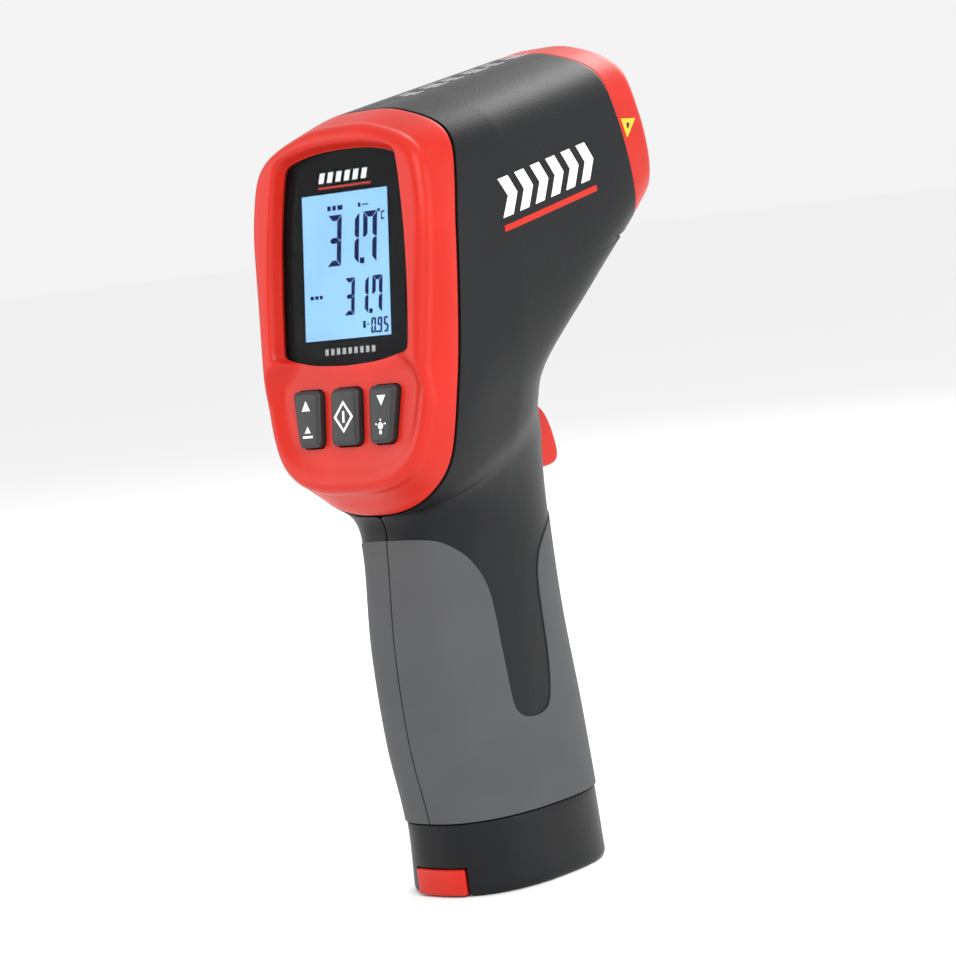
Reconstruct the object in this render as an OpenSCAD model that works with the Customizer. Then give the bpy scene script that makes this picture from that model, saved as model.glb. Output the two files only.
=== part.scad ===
// Pistol-grip infrared thermometer, standing on its base.
// The origin is the centre of the base's flat face. +Z is up, +Y is the way the lens
// points and +X is the user's right. All sizes are in millimetres.

/* [Body] */
// Height from the base to the top of the nose
overall_height = 190.5; // [178:0.5:230]
// Height of the head above the neck of the handle
head_height = 104.5; // [100:0.5:110]
// Width across the head behind the display
head_width = 57; // [52:1:68]
// Distance from the display face to the front of the nose
barrel_length = 85; // [78:1:102]
// Width of the handle
handle_width = 33; // [32:0.5:42]
// Depth of the handle from back to front
handle_depth = 52; // [50:1:64]
// Share by which the nose is narrower than the head
nose_narrowing = 0.13; // [0:0.01:0.15]
// Lean of the display face from upright, in degrees
face_tilt = 8; // [0:1:14]
// Upward pitch of the barrel and lens, in degrees
barrel_pitch = 11; // [6:1:14]

/* [Shells] */
// Wall thickness of the housings
wall = 2.2; // [1.6:0.1:2.6]
// Thickness of the soft grip panels
grip_thickness = 1; // [0.6:0.1:1.2]
// Depth of the bezel shell behind the display face
bezel_depth = 6; // [5:0.2:8]
// Height of the hood round the display window
hood_height = 2.8; // [1.5:0.1:3.2]
// Thickness of the bezel's face plate
face_plate = 2; // [1.6:0.1:2.4]
// Length of the nose ring
nose_ring_length = 11.5; // [9:0.5:13]
// Height of the battery cap
cap_height = 17; // [14:0.5:20]
// Gap between pieces that move past each other
running_gap = 0.25; // [0.2:0.05:0.4]
// Gap between pieces that are fitted together
fit_gap = 0.1; // [0.05:0.05:0.2]

/* [Display and keys] */
// Width of the display window
window_width = 40; // [36:0.5:42]
// Height of the display window
window_height = 48; // [44:0.5:50]
// Thickness of the display window
window_thickness = 1.2; // [1:0.1:1.4]
// Width of the visible display
screen_width = 25.6; // [22:0.2:28]
// Height of the visible display
screen_height = 32.6; // [28:0.2:36]
// Width of one key
key_width = 8.2; // [7:0.2:9]
// Height of one key
key_height = 12.8; // [11:0.2:13.6]
// Distance between the keys' centres
key_pitch = 11.5; // [11.5:0.1:13]
// How far the keys stand out of the face
key_rise = 1.6; // [1:0.1:2.4]
// Key travel
key_travel = 0.8; // [0.4:0.1:0.8]

/* [Trigger] */
// Width of the trigger
trigger_width = 13; // [10:0.5:15]
// Radius of the trigger's pivot pin
trigger_pin_radius = 1.5; // [1.2:0.1:1.8]

/* [Optics] */
// Outer radius of the lens tube
tube_radius = 8.9; // [8:0.1:9.4]
// Wall of the lens tube
tube_wall = 1.2; // [1:0.1:1.6]
// Length of the lens tube
tube_length = 30; // [24:1:36]
// Radius of the laser module
laser_radius = 3; // [2.5:0.1:3.2]
// Length of the laser module
laser_length = 18; // [14:1:22]

/* [Battery] */
// Width of the battery block, across the handle
battery_width = 17.5; // [16:0.5:17.5]
// Depth of the battery block, from back to front
battery_depth = 26.5; // [25:0.5:26.5]
// Height of the battery block with its terminals
battery_height = 48.5; // [46:0.5:48.5]
// Wall of the battery tray
tray_wall = 1.2; // [1:0.1:1.4]
// How far the latch button presses in
latch_travel = 1.6; // [1:0.1:2]

/* [Hidden] */

$fn = 48;
overlap = 0.4;

// ---------------------------------------------------------------- outer form

neck_z = overall_height - head_height;
head_half = head_width / 2;
hand_half = handle_width / 2;
hand_deep = handle_depth / 2;

// Height at a share of the way up the grip
function grip_at(share) = cap_height + share * (neck_z - cap_height);

// Display face: a point on it, and its up direction leaning forward
face_y = -30.5;
face_z = neck_z + 60;
// Nose: a point on its front plane, which leans back by the barrel's pitch
nose_y = face_y + barrel_length;
nose_z = neck_z + 81;

// Stations up the body. Each is a slice through a rear point and a front point:
// rear y, rear z, front y, front z, half width, corner power.
stations = [
    [-hand_deep + 2, 0, hand_deep + 1, 0, hand_half + 0.7, 2.6],
    [-hand_deep + 1, cap_height, hand_deep + 1, cap_height, hand_half - 0.2, 2.5],
    [-hand_deep - 2.5, grip_at(0.27), hand_deep - 0.5, grip_at(0.3), hand_half, 2.4],
    [-hand_deep - 3.5, grip_at(0.58), hand_deep - 3.5, grip_at(0.65), hand_half, 2.4],
    [-hand_deep - 2, grip_at(0.88), hand_deep - 4.5, grip_at(1.03), hand_half, 2.4],
    [-hand_deep - 2, neck_z, hand_deep - 6, neck_z + 18, hand_half + 2, 2.6],
    [face_y - 2.5, neck_z + 5, hand_deep - 10.5, neck_z + 26, head_half - 6, 2.9],
    [face_y - 11.5, neck_z + 13, hand_deep - 8, neck_z + 35, head_half - 3.3, 3.5],
    [face_y - 11.5, neck_z + 29, nose_y - 17.5, neck_z + 51, head_half - 0.6, 4.5],
    [face_y - 8.5, neck_z + 54, nose_y + 6.5, neck_z + 70, head_half + 0.5, 6],
    [face_y - 5.5, neck_z + 72, nose_y + 19.5, neck_z + 90, head_half - 0.3, 8],
    [face_y - 3.5, neck_z + 83, nose_y + 24.5, neck_z + 103, head_half - 4.2, 9],
    [face_y - 2.5, neck_z + 88.8, nose_y + 25.5, neck_z + 109, head_half - 17, 9],
    [face_y - 2.5, neck_z + 89.8, nose_y + 25.5, neck_z + 110, 0, 9]];
top_t = len(stations) - 1;

function spline(a, b, c, d, f) =
    0.5 * (2 * b + (c - a) * f + (2 * a - 5 * b + 4 * c - d) * f * f
    + (3 * b - a - 3 * c + d) * f * f * f);

// Slice at any place t along the stations
function slice(t) =
    let (i = min(floor(t), top_t - 1), p = stations[i], q = stations[i + 1],
        a = i == 0 ? 2 * p - q : stations[i - 1],
        d = i + 2 > top_t ? 2 * q - p : stations[i + 2])
    spline(a, p, q, d, t - i);

// The same slice inside a wall of thickness d
function inner_slice(t, d) =
    let (s = slice(t), drop = d * max(0, min(1, (t - 9.5) / 2.5)))
    [s[0] + d, s[1] - drop, s[2] - d, s[3] - drop, max(0, s[4] - d), s[5]];

function mid(s) = [(s[0] + s[2]) / 2, (s[1] + s[3]) / 2];
function arm(s) = [(s[2] - s[0]) / 2, (s[3] - s[1]) / 2];
function narrowing(y) = 1 - nose_narrowing * max(0, y + 5) / (nose_y + 5);
// Half width of slice s at w, which runs from -1 at the rear to 1 at the front
function half_x(s, w) =
    abs(w) >= 1 ? 0
    : max(0, s[4]) * pow(1 - pow(abs(w), s[5]), 1 / s[5]) * narrowing(mid(s)[0] + w * arm(s)[0]);
function form_point(s, w) =
    [half_x(s, w), mid(s)[0] + w * arm(s)[0], mid(s)[1] + w * arm(s)[1]];
function turn_of(s, w) = acos(max(-1, min(1, -sign(w) * pow(abs(w), s[5] / 2))));
function w_of(s, turn) = -sign(cos(turn)) * pow(abs(cos(turn)), 2 / s[5]);

// Planes: [point y, point z, lean forward in degrees]
face_plane = [face_y, face_z, face_tilt];
nose_plane = [nose_y, nose_z, -barrel_pitch];
// The bezel and the housings part on a plane a little more upright than the face
parting_plane = [face_y + bezel_depth, face_z, face_tilt - 1.5];
function plane_dir(p) = [cos(p[2]), -sin(p[2])];
function plane_up(p) = [sin(p[2]), cos(p[2])];
function plane_depth(p, q) = (q - [p[0], p[1]]) * plane_dir(p);
// Place w where slice s meets plane p at depth d
function cut_w(s, p, d) = (d - plane_depth(p, mid(s))) / (arm(s) * plane_dir(p));

// Lowest t at which the profile's rear (end 0) or front (end 2) point lies on a plane
function edge_t(p, d, end, low, high, n = 22) =
    let (m = (low + high) / 2, s = slice(m), side = plane_depth(p, [s[end], s[end + 1]]) - d)
    n == 0 ? m
    : (end == 0 ? side > 0 : side < 0) ? edge_t(p, d, end, m, high, n - 1)
    : edge_t(p, d, end, low, m, n - 1);

// Right half of the outline in which the form meets a plane: [x, height along the plane]
outline_steps = 26;
function outline(p, d, end) =
    let (low = end == 0 ? edge_t(p, d, end, 4, 8) : edge_t(p, d, end, 6, 11))
    [for (i = [0:outline_steps])
        let (t = low + (top_t - low) * pow(i / outline_steps, 1.5), s = slice(t), w = cut_w(s, p, d),
            q = form_point(s, w), x = i == 0 || i == outline_steps ? 0 : q[0])
        [x, ([q[1], q[2]] - [p[0], p[1]]) * plane_up(p)]];

// Outline drawn in by d all round
function pulled_in(line, d) =
    let (low = line[0][1], high = line[len(line) - 1][1], c = (low + high) / 2,
        tall = (high - low) / 2, wide = max([for (q = line) q[0]]))
    [for (q = line) [q[0] * (1 - d / wide), c + (q[1] - c) * (1 - d / tall)]];
function both_sides(line) =
    let (n = len(line) - 1)
    concat(line, [for (i = [n - 1:-1:1]) [-line[i][0], line[i][1]]]);

// ------------------------------------------------------- surfaces from functions

function split(q) = [[q[0], q[1], q[2]], [q[0], q[2], q[3]]];

// Faces of a closed skin over a grid: an outer sheet, an inner sheet and the edges
function skin_faces(rows, cols, inside) =
    let (n = (rows + 1) * (cols + 1),
        o = function (i, j) i * (cols + 1) + j,
        k = function (i, j) n + i * (cols + 1) + j,
        on = function (i, j) i >= 0 && j >= 0 && i < rows && j < cols && inside(i, j))
    [for (i = [0:rows - 1]) for (j = [0:cols - 1]) if (on(i, j))
        each concat(
            split([o(i, j), o(i + 1, j), o(i + 1, j + 1), o(i, j + 1)]),
            split([k(i, j), k(i, j + 1), k(i + 1, j + 1), k(i + 1, j)]),
            on(i, j - 1) ? [] : split([o(i + 1, j), o(i, j), k(i, j), k(i + 1, j)]),
            on(i, j + 1) ? [] : split([o(i, j + 1), o(i + 1, j + 1), k(i + 1, j + 1), k(i, j + 1)]),
            on(i - 1, j) ? [] : split([o(i, j), o(i, j + 1), k(i, j + 1), k(i, j)]),
            on(i + 1, j) ? [] : split([o(i + 1, j + 1), o(i + 1, j), k(i + 1, j), k(i + 1, j + 1)]))];

// Closed solid through rings of equal length, each symmetrical about its first point.
// reach is 1 when the rings advance with the outline going up on the right, else -1.
module loft(rings, reach) {
    n = len(rings[0]);
    last = len(rings) - 1;
    half = n / 2;
    sides = [for (i = [0:last - 1]) for (k = [0:n - 1])
        let (a = i * n + k, b = i * n + (k + 1) % n)
        each split(reach > 0 ? [a, b, b + n, a + n] : [a, a + n, b + n, b])];
    strips = [for (k = [0:half - 1])
        let (a = k, b = k + 1, c = n - k - 1, d = (n - k) % n)
        each k == 0 ? [[a, b, c]] : k == half - 1 ? [[a, b, d]] : split([a, b, c, d])];
    first = [for (f = strips) reach > 0 ? [f[2], f[1], f[0]] : f];
    final = [for (f = strips) last * [n, n, n] + (reach > 0 ? f : [f[2], f[1], f[0]])];
    polyhedron([for (r = rings) each r], concat(sides, first, final));
}

// Ring of 3-D points from an outline on plane p at depth d
function ring_on(p, d, line) =
    [for (q = both_sides(line))
        let (yz = [p[0], p[1]] + d * plane_dir(p) + q[1] * plane_up(p))
        [q[0], yz[0], yz[1]]];

// Ring of 3-D points round a whole slice
ring_steps = 20;
function ring_of(s) =
    concat([for (k = [0:ring_steps]) form_point(s, w_of(s, 180 * k / ring_steps))],
        [for (k = [ring_steps - 1:-1:1])
            let (q = form_point(s, w_of(s, 180 * k / ring_steps))) [-q[0], q[1], q[2]]]);

// Where the side of the body is at a given y and z, found between two slices
function side_t(y, z, low = 1, high = top_t, n = 22) =
    let (m = (low + high) / 2, s = slice(m), a = arm(s), q = [y, z] - mid(s))
    n == 0 ? m
    : a[0] * q[1] - a[1] * q[0] > 0 ? side_t(y, z, m, high, n - 1)
    : side_t(y, z, low, m, n - 1);
function side_x(y, z) =
    let (s = slice(side_t(y, z)), a = arm(s))
    half_x(s, (([y, z] - mid(s)) * a) / (a * a));

// --------------------------------------------------------------------- places

// Local +Y goes into the body from the display face, +Z goes up the face
module at_face(x = 0, v = 0) {
    translate([0, face_y, face_z]) rotate([-face_tilt, 0, 0]) translate([x, 0, v]) children();
}
// Local +Y points out of the nose, +Z goes up the nose
module at_nose(x = 0, v = 0) {
    translate([0, nose_y, nose_z]) rotate([barrel_pitch, 0, 0]) translate([x, 0, v]) children();
}
// Prism between two depths along local +Y, from a drawing in x and z
module prism(from, to) {
    translate([0, to, 0]) rotate([90, 0, 0]) linear_extrude(to - from) children();
}
module round_rect(w, h, r) {
    square([w - 2 * r, h], center = true);
    square([w, h - 2 * r], center = true);
    for (x = [-1, 1], y = [-1, 1])
        translate([x * (w / 2 - r), y * (h / 2 - r)]) circle(r);
}
module rod_y(r, from, to) {
    translate([0, to, 0]) rotate([90, 0, 0]) cylinder(r = r, h = to - from);
}
module rod_x(r, from, to) {
    translate([from, 0, 0]) rotate([0, 90, 0]) cylinder(r = r, h = to - from);
}
module block(low, high) {
    translate(low) cube(high - low);
}
// Coil spring along +Y as a swept tube
module coil(r, wire, length, turns) {
    steps = turns * 10;
    sides = 6;
    points = [for (i = [0:steps]) for (k = [0:sides - 1])
        let (a = 360 * turns * i / steps, b = 360 * k / sides, q = r + wire * cos(b))
        [q * cos(a), wire + (length - 2 * wire) * i / steps + wire * sin(b), q * sin(a)]];
    skin = [for (i = [0:steps - 1]) for (k = [0:sides - 1])
        let (a = i * sides + k, b = i * sides + (k + 1) % sides)
        each split([a, a + sides, b + sides, b])];
    low = [for (k = [1:sides - 2]) [0, k, k + 1]];
    high = [for (k = [1:sides - 2]) steps * sides * [1, 1, 1] + [0, k + 1, k]];
    polyhedron(points, concat(skin, low, high));
}

// ------------------------------------------------------------- housing and grips

part_rows = 3;
cols = 14;
housing_rows = part_rows * (top_t - 1);
function row_t(i) = 1 + i / part_rows;
grip_top_row = 10;
grip_front_row = 9;
tongue_row = 3;
tongue_first = 6;
tongue_last = 8;
function in_grip(i, j) =
    i >= 0 && j >= 0 && j < cols
    && (i < tongue_row || (j < tongue_first && i < grip_top_row)
    || (j >= tongue_last && i < grip_front_row));
// A grid corner is set back for the grip when any cell round it is in the grip
function set_back(i, j) =
    in_grip(i, j) || in_grip(i - 1, j) || in_grip(i, j - 1) || in_grip(i - 1, j - 1)
    ? grip_thickness : 0;

// Points of one sheet of the right side, kept between the bezel and the nose ring
function sheet(rows, depth) =
    [for (i = [0:rows]) for (j = [0:cols])
        let (s = inner_slice(row_t(i), depth(i, j)),
            from = max(-1, cut_w(s, parting_plane, 0)),
            to = min(1, cut_w(s, nose_plane, -nose_ring_length)),
            a = turn_of(s, from), b = turn_of(s, to))
        form_point(s, w_of(s, a + (b - a) * j / cols))];

inner_wall = wall + overlap;
module housing_shell() {
    polyhedron(
        concat(sheet(housing_rows, function (i, j) set_back(i, j)),
            sheet(housing_rows, function (i, j) inner_wall)),
        skin_faces(housing_rows, cols, function (i, j) true));
}
module grip_skin() {
    polyhedron(
        concat(sheet(grip_top_row, function (i, j) 0),
            sheet(grip_top_row, function (i, j) grip_thickness)),
        skin_faces(grip_top_row, cols, function (i, j) in_grip(i, j)));
}

// Screw places in y and z, each with a boss in both housings
screw_places = [[18, cap_height + 13], [14.5, neck_z - 20], [-10, neck_z + 24],
    [22, neck_z + 56], [-2, neck_z + 84]];
boss_radius = 3.2;
screw_radius = 1.25;
pilot_radius = screw_radius + 0.02;
screw_head_radius = 2.6;
screw_head_height = 1.8;
screw_engagement = 9;
boss_floor = 5;

// Trigger pivot and the slot it works in
pivot_y = hand_deep - 12.5;
pivot_z = neck_z + 21;
pin_boss_radius = 3.2;
trigger_half = trigger_width / 2;
slot_half = trigger_half + running_gap;
slot_bottom = pivot_z - 17;
slot_top = pivot_z + 2.6;
pin_half = trigger_half + 5.5;

// Lens and laser lines on the nose
lens_v = -2.5;
laser_v = 11.5;
tube_front = -2.8;
rib_places = [-14, -28];
rib_thickness = 1.8;

module tube_rib(d) {
    line = pulled_in(outline(nose_plane, d, 2), wall);
    low = lens_v - tube_radius - 5;
    difference() {
        at_nose() prism(d - rib_thickness, d) intersection() {
            polygon(concat(line, [[0, line[0][1]]]));
            translate([0, low]) square([head_width, 60]);
        }
        at_nose(0, lens_v) rod_y(tube_radius + fit_gap, d - 3, d + 1);
        at_nose(0, laser_v) rod_y(laser_radius + fit_gap, d - 3, d + 1);
    }
}
// How far a boss of radius r may reach out before its rim would leave the wall
function boss_end(y, z, r) =
    min([for (a = [0:45:315]) side_x(y + r * cos(a), z + r * sin(a))]) - wall + overlap;
module boss(p) {
    translate([0, p[0], p[1]]) rod_x(boss_radius, 0, boss_end(p[0], p[1], boss_radius));
}
module pin_boss() {
    translate([0, pivot_y, pivot_z])
        rod_x(pin_boss_radius, slot_half, boss_end(pivot_y, pivot_z, pin_boss_radius));
}
// A ledge on the inside of the side wall
module ledge(x, y0, y1, z, thick) {
    reach = min(side_x(y0, z), side_x(y1, z)) - wall + overlap;
    block([x, y0, z], [reach, y1, z + thick]);
}
ledge_thickness = 1.4;
module ledges() {
    for (z = [switch_board_z - fit_gap - ledge_thickness, switch_board_z + switch_board_height + fit_gap])
        ledge(8, switch_board_y - 1, switch_board_y + switch_board_thickness + 1, z, ledge_thickness);
    for (z = [block_z - fit_gap - ledge_thickness, block_z + block_height + fit_gap])
        ledge(battery_width / 2 + running_gap, battery_y - 6, battery_y + 6, z, ledge_thickness);
}
module housing_half() {
    difference() {
        union() {
            housing_shell();
            for (p = screw_places) boss(p);
            pin_boss();
            for (d = rib_places) tube_rib(d);
            ledges();
        }
        block([-1, pivot_y - 3, slot_bottom], [slot_half, hand_deep + 10, slot_top]);
        translate([0, pivot_y, pivot_z]) rod_x(trigger_pin_radius + 0.02, 0, pin_half + fit_gap);
    }
}
module right_housing() {
    color([0.16, 0.16, 0.17]) difference() {
        housing_half();
        for (p = screw_places)
            translate([0, p[0], p[1]]) rod_x(pilot_radius, -1, screw_engagement + 1);
    }
}
module left_housing() {
    color([0.16, 0.16, 0.17]) mirror([1, 0, 0]) difference() {
        housing_half();
        for (p = screw_places) translate([0, p[0], p[1]]) {
            rod_x(pilot_radius + 0.2, -1, head_half);
            rod_x(screw_head_radius + fit_gap, boss_floor, head_width);
        }
    }
}
module right_grip() {
    color([0.42, 0.42, 0.43]) grip_skin();
}
module left_grip() {
    color([0.42, 0.42, 0.43]) mirror([1, 0, 0]) difference() {
        grip_skin();
        for (p = screw_places) translate([0, p[0], p[1]])
            rod_x(screw_head_radius + fit_gap, boss_floor, head_width);
    }
}
module housing_screws() {
    color("silver") for (p = screw_places) translate([0, p[0], p[1]]) difference() {
        union() {
            rod_x(screw_radius, -boss_floor - 0.5, screw_engagement);
            rod_x(screw_head_radius, -boss_floor - screw_head_height, -boss_floor);
        }
        block([-boss_floor - screw_head_height - 1, -0.4, -1.8],
            [-boss_floor - screw_head_height + 0.9, 0.4, 1.8]);
        block([-boss_floor - screw_head_height - 1, -1.8, -0.4],
            [-boss_floor - screw_head_height + 0.9, 1.8, 0.4]);
    }
}

// ------------------------------------------------------------ bezel and display

key_v = -35;
board_v = -9.5;
board_width = 36;
board_height = 75;
board_depth = 9;
board_thickness = 1.6;
post_places = [[-15, 25.5], [15, 25.5], [-11, -45], [11, -45]];
post_radius = 2.3;
board_screw_radius = 0.9;

module key_outline(grow) {
    round_rect(key_width + 2 * grow, key_height + 2 * grow, 2.6 + grow);
}
hood_low = -27;
module bezel() {
    // Depth and inset of each ring from the hood's crest back to the parting plane
    rounding = [[-hood_height, 3.4], [0.6 - hood_height, 2.4], [0, 1.4], [2, 0.3], [3.8, 0]];
    hollow = [face_plate, bezel_depth / 2 + 1];
    color([0.9, 0.2, 0.12]) difference() {
        union() {
            difference() {
                loft(concat(
                    [for (r = rounding)
                        ring_on(face_plane, r[0], pulled_in(outline(face_plane, r[0], 0), r[1]))],
                    [ring_on(parting_plane, 0, outline(parting_plane, 0, 0))]), 1);
                loft(concat(
                    [for (d = hollow)
                        ring_on(face_plane, d, pulled_in(outline(face_plane, d, 0), wall + 0.6))],
                    [ring_on(parting_plane, 1, pulled_in(outline(parting_plane, 1, 0), wall + 0.6))]), 1);
                at_face() prism(-hood_height - 1, 0) translate([-head_width, hood_low - 60])
                    square([2 * head_width, 60]);
            }
            for (p = post_places) at_face(p[0], p[1]) rod_y(post_radius, face_plate - overlap, board_depth);
        }
        at_face() prism(-hood_height - 1, overlap)
            round_rect(window_width + 1.4, window_height + 1.4, 5.6);
        at_face() prism(-1, window_thickness + 0.3)
            round_rect(window_width + 2 * fit_gap, window_height + 2 * fit_gap, 5);
        at_face() prism(-1, face_plate + 1) round_rect(window_width - 4, window_height - 4, 3);
        for (x = [-1:1]) at_face(x * key_pitch, key_v)
            prism(-1, face_plate + 1) key_outline(running_gap);
        for (p = post_places) at_face(p[0], p[1]) rod_y(board_screw_radius + 0.02, 4.5, board_depth + 1);
    }
}
module display_window() {
    color([0.1, 0.1, 0.12, 0.5]) at_face()
        prism(0, window_thickness) round_rect(window_width, window_height, 5);
}
module window_mask() {
    color([0.03, 0.03, 0.03]) at_face() prism(window_thickness, window_thickness + 0.25)
        difference() {
            round_rect(window_width, window_height, 5);
            square([screen_width, screen_height], center = true);
        }
}
module key(x) {
    color([0.13, 0.13, 0.14]) at_face(x, key_v) {
        prism(-key_rise, face_plate + running_gap) key_outline(0);
        prism(face_plate + running_gap, face_plate + running_gap + 1) key_outline(0.9);
        rod_y(1.8, face_plate + running_gap + 0.8, mat_top - 0.1 - key_travel);
    }
}
module key_left() {
    key(-key_pitch);
}
module key_middle() {
    key(0);
}
module key_right() {
    key(key_pitch);
}
mat_top = 6.2;
mat_base = 7.8;
module keypad_mat() {
    color([0.75, 0.75, 0.72]) at_face(0, key_v) {
        prism(mat_base, board_depth) square([34, 13.5], center = true);
        for (x = [-1:1]) translate([x * key_pitch, 0, 0]) rod_y(2.6, mat_top, mat_base + 0.5);
    }
}
lcd_width = 33;
lcd_height = 41;
lcd_front = face_plate + 0.2;
lcd_thickness = 2.6;
module lcd_panel() {
    color([0.55, 0.75, 0.9]) at_face()
        prism(lcd_front, lcd_front + lcd_thickness) square([lcd_width, lcd_height], center = true);
}
module lcd_backlight() {
    color("white") at_face() {
        prism(lcd_front + lcd_thickness, board_depth - 1) square([lcd_width, lcd_height], center = true);
        for (x = [-1, 1]) translate([x * (lcd_width / 2 - 3), 0, 0])
            prism(board_depth - 1.2, board_depth) square([3, lcd_height - 6], center = true);
    }
}
module main_board() {
    color([0.1, 0.4, 0.2]) at_face() prism(board_depth, board_depth + board_thickness)
        difference() {
            translate([0, board_v]) round_rect(board_width, board_height, 8);
            for (p = post_places) translate(p) circle(board_screw_radius + 0.15);
        }
}
board_back = board_depth + board_thickness;
module board_components() {
    color([0.1, 0.1, 0.1]) at_face() {
        prism(board_back, board_back + 1.4) translate([0, -6]) square([10, 10], center = true);
        prism(board_back, board_back + 1.2) translate([-11, -16]) square([5, 4], center = true);
        prism(board_back, board_back + 3) translate([11, 8]) square([12, 5], center = true);
        translate([11, 0, -18]) rod_y(3, board_back, board_back + 6);
        translate([-12, 0, 4]) rod_y(2.5, board_back, board_back + 5);
    }
}
module buzzer() {
    color([0.12, 0.12, 0.12]) at_face(-4, 16) difference() {
        rod_y(6, board_back, board_back + 4.5);
        rod_y(1.2, board_back + 2, board_back + 6);
    }
}
module board_screws() {
    color("silver") for (p = post_places) at_face(p[0], p[1]) {
        rod_y(board_screw_radius, 5.2, board_back + 0.2);
        rod_y(1.8, board_back, board_back + 1.3);
    }
}

// --------------------------------------------------------------- nose and optics

tube_back = tube_front - tube_length;
sensor_radius = 4.6;
sensor_board_d = tube_back - 2.4;
module nose_ring() {
    rounding = [[-nose_ring_length, 0], [-6, 0], [-3, 0.3], [-1, 1.2], [0, 2.6]];
    color([0.9, 0.2, 0.12]) difference() {
        loft([for (r = rounding)
            ring_on(nose_plane, r[0], pulled_in(outline(nose_plane, r[0], 2), r[1]))], 1);
        at_nose() prism(-nose_ring_length - 1, 1)
            polygon(both_sides(pulled_in(outline(nose_plane, -2, 2), 4.5)));
    }
}
module front_plate() {
    color([0.08, 0.08, 0.08]) difference() {
        at_nose() prism(-4.5, -2.5)
            polygon(both_sides(pulled_in(outline(nose_plane, -2, 2), 4.6)));
        at_nose(0, lens_v) rod_y(tube_radius + fit_gap, -6, 0);
        at_nose(0, laser_v) rod_y(laser_radius + fit_gap, -6, 0);
    }
}
module lens_tube() {
    color([0.2, 0.2, 0.2]) at_nose(0, lens_v) difference() {
        rod_y(tube_radius, tube_back, tube_front + 1.6);
        rod_y(tube_radius - tube_wall, tube_back + 6, tube_front + 3);
        rod_y(sensor_radius + 0.05, tube_back - 1, tube_back + 7);
    }
}
lens_back = tube_front - 3.4;
module ir_lens() {
    color([0.35, 0.32, 0.4]) at_nose(0, lens_v) translate([0, lens_back, 0]) rotate([-90, 0, 0])
        rotate_extrude() intersection() {
            square([tube_radius - tube_wall - 0.05, 3]);
            translate([0, 2.4 - 24]) circle(24, $fn = 180);
        }
}
module lens_retainer() {
    color([0.15, 0.15, 0.15]) at_nose(0, lens_v) difference() {
        rod_y(tube_radius - tube_wall - 0.02, lens_back + 2.5, tube_front + 0.8);
        rod_y(tube_radius - tube_wall - 1.6, lens_back + 1, tube_front + 2);
    }
}
module thermopile() {
    color("silver") at_nose(0, lens_v) {
        rod_y(sensor_radius, tube_back, tube_back + 0.8);
        difference() {
            rod_y(sensor_radius - 0.5, tube_back + 0.6, tube_back + 4);
            rod_y(1.6, tube_back + 3.4, tube_back + 5);
        }
        for (a = [45:90:315]) rotate([0, a, 0]) translate([2.6, 0, 0])
            rod_y(0.25, sensor_board_d, tube_back + 0.1);
    }
}
module sensor_board() {
    color([0.1, 0.4, 0.2]) at_nose(0, lens_v) difference() {
        prism(sensor_board_d, sensor_board_d + 1.6) square([24, 20], center = true);
        for (a = [45:90:315]) rotate([0, a, 0]) translate([2.6, 0, 0])
            rod_y(0.3, sensor_board_d - 1, sensor_board_d + 3);
    }
}
module laser_module() {
    color([0.7, 0.6, 0.3]) at_nose(0, laser_v) difference() {
        rod_y(laser_radius, tube_front - laser_length, tube_front - 0.6);
        rod_y(1.2, tube_front - 4, tube_front);
    }
}
module laser_window() {
    color([0.5, 0.05, 0.05]) at_nose(0, laser_v)
        rod_y(laser_radius - 0.2, tube_front - 0.6, tube_front + 0.2);
}
// Flat cable from the sensor board back to the main board
module sensor_flex() {
    a = [nose_y, nose_z] + (sensor_board_d - 0.2) * [cos(barrel_pitch), sin(barrel_pitch)]
        + (lens_v - 6) * [-sin(barrel_pitch), cos(barrel_pitch)];
    b = [face_y, face_z] + (board_back + 3.2) * [cos(face_tilt), -sin(face_tilt)]
        + 8 * [sin(face_tilt), cos(face_tilt)];
    c = [(a[0] + b[0]) / 2, (a[1] + b[1]) / 2 - 6];
    thick = 0.4;
    color([0.8, 0.5, 0.15]) translate([6, 0, 0]) rotate([90, 0, 90]) linear_extrude(10)
        polygon([a, c, b, b + [0, thick], c + [0, thick], a + [0, thick]]);
}

// ----------------------------------------------------------------- outer trim

function top_z(y) = let (s = slice(top_t)) s[1] + (s[3] - s[1]) * (y - s[0]) / (s[2] - s[0]);
label_from = face_y + 20.5;
label_to = nose_y - 14.5;
label_half = 4.5;
module top_label() {
    lift = 0.02;
    thick = 0.4;
    color([0.3, 0.3, 0.3]) translate([-label_half, 0, 0]) rotate([90, 0, 90])
        linear_extrude(2 * label_half) polygon([
            [label_from, top_z(label_from) + lift], [label_to, top_z(label_to) + lift],
            [label_to, top_z(label_to) + lift + thick], [label_from, top_z(label_from) + lift + thick]]);
}
// Thin plate that follows the side of the body
module side_plate(y0, y1, z0, z1, lean, lift, thick) {
    n = 3;
    spots = [for (i = [0:n]) for (j = [0:n])
        let (y = y0 + (y1 - y0) * j / n, z = z0 + (z1 - z0) * i / n + lean * (y - y0))
        [side_x(y, z), y, z]];
    polyhedron(
        concat([for (q = spots) q + [lift + thick, 0, 0]], [for (q = spots) q + [lift, 0, 0]]),
        skin_faces(n, n, function (i, j) true));
}
badge_y = nose_y - 60.5;
badge_z = neck_z + 65;
badge_length = 35;
badge_height = 8.5;
module side_badges() {
    lean = tan(barrel_pitch);
    color("white") for (m = [0, 1]) mirror([m, 0, 0]) {
        side_plate(badge_y, badge_y + badge_length, badge_z, badge_z + badge_height, lean, 0.12, 0.35);
        side_plate(badge_y, badge_y + badge_length, badge_z - 3, badge_z - 1.6, lean, 0.12, 0.35);
    }
}
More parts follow.
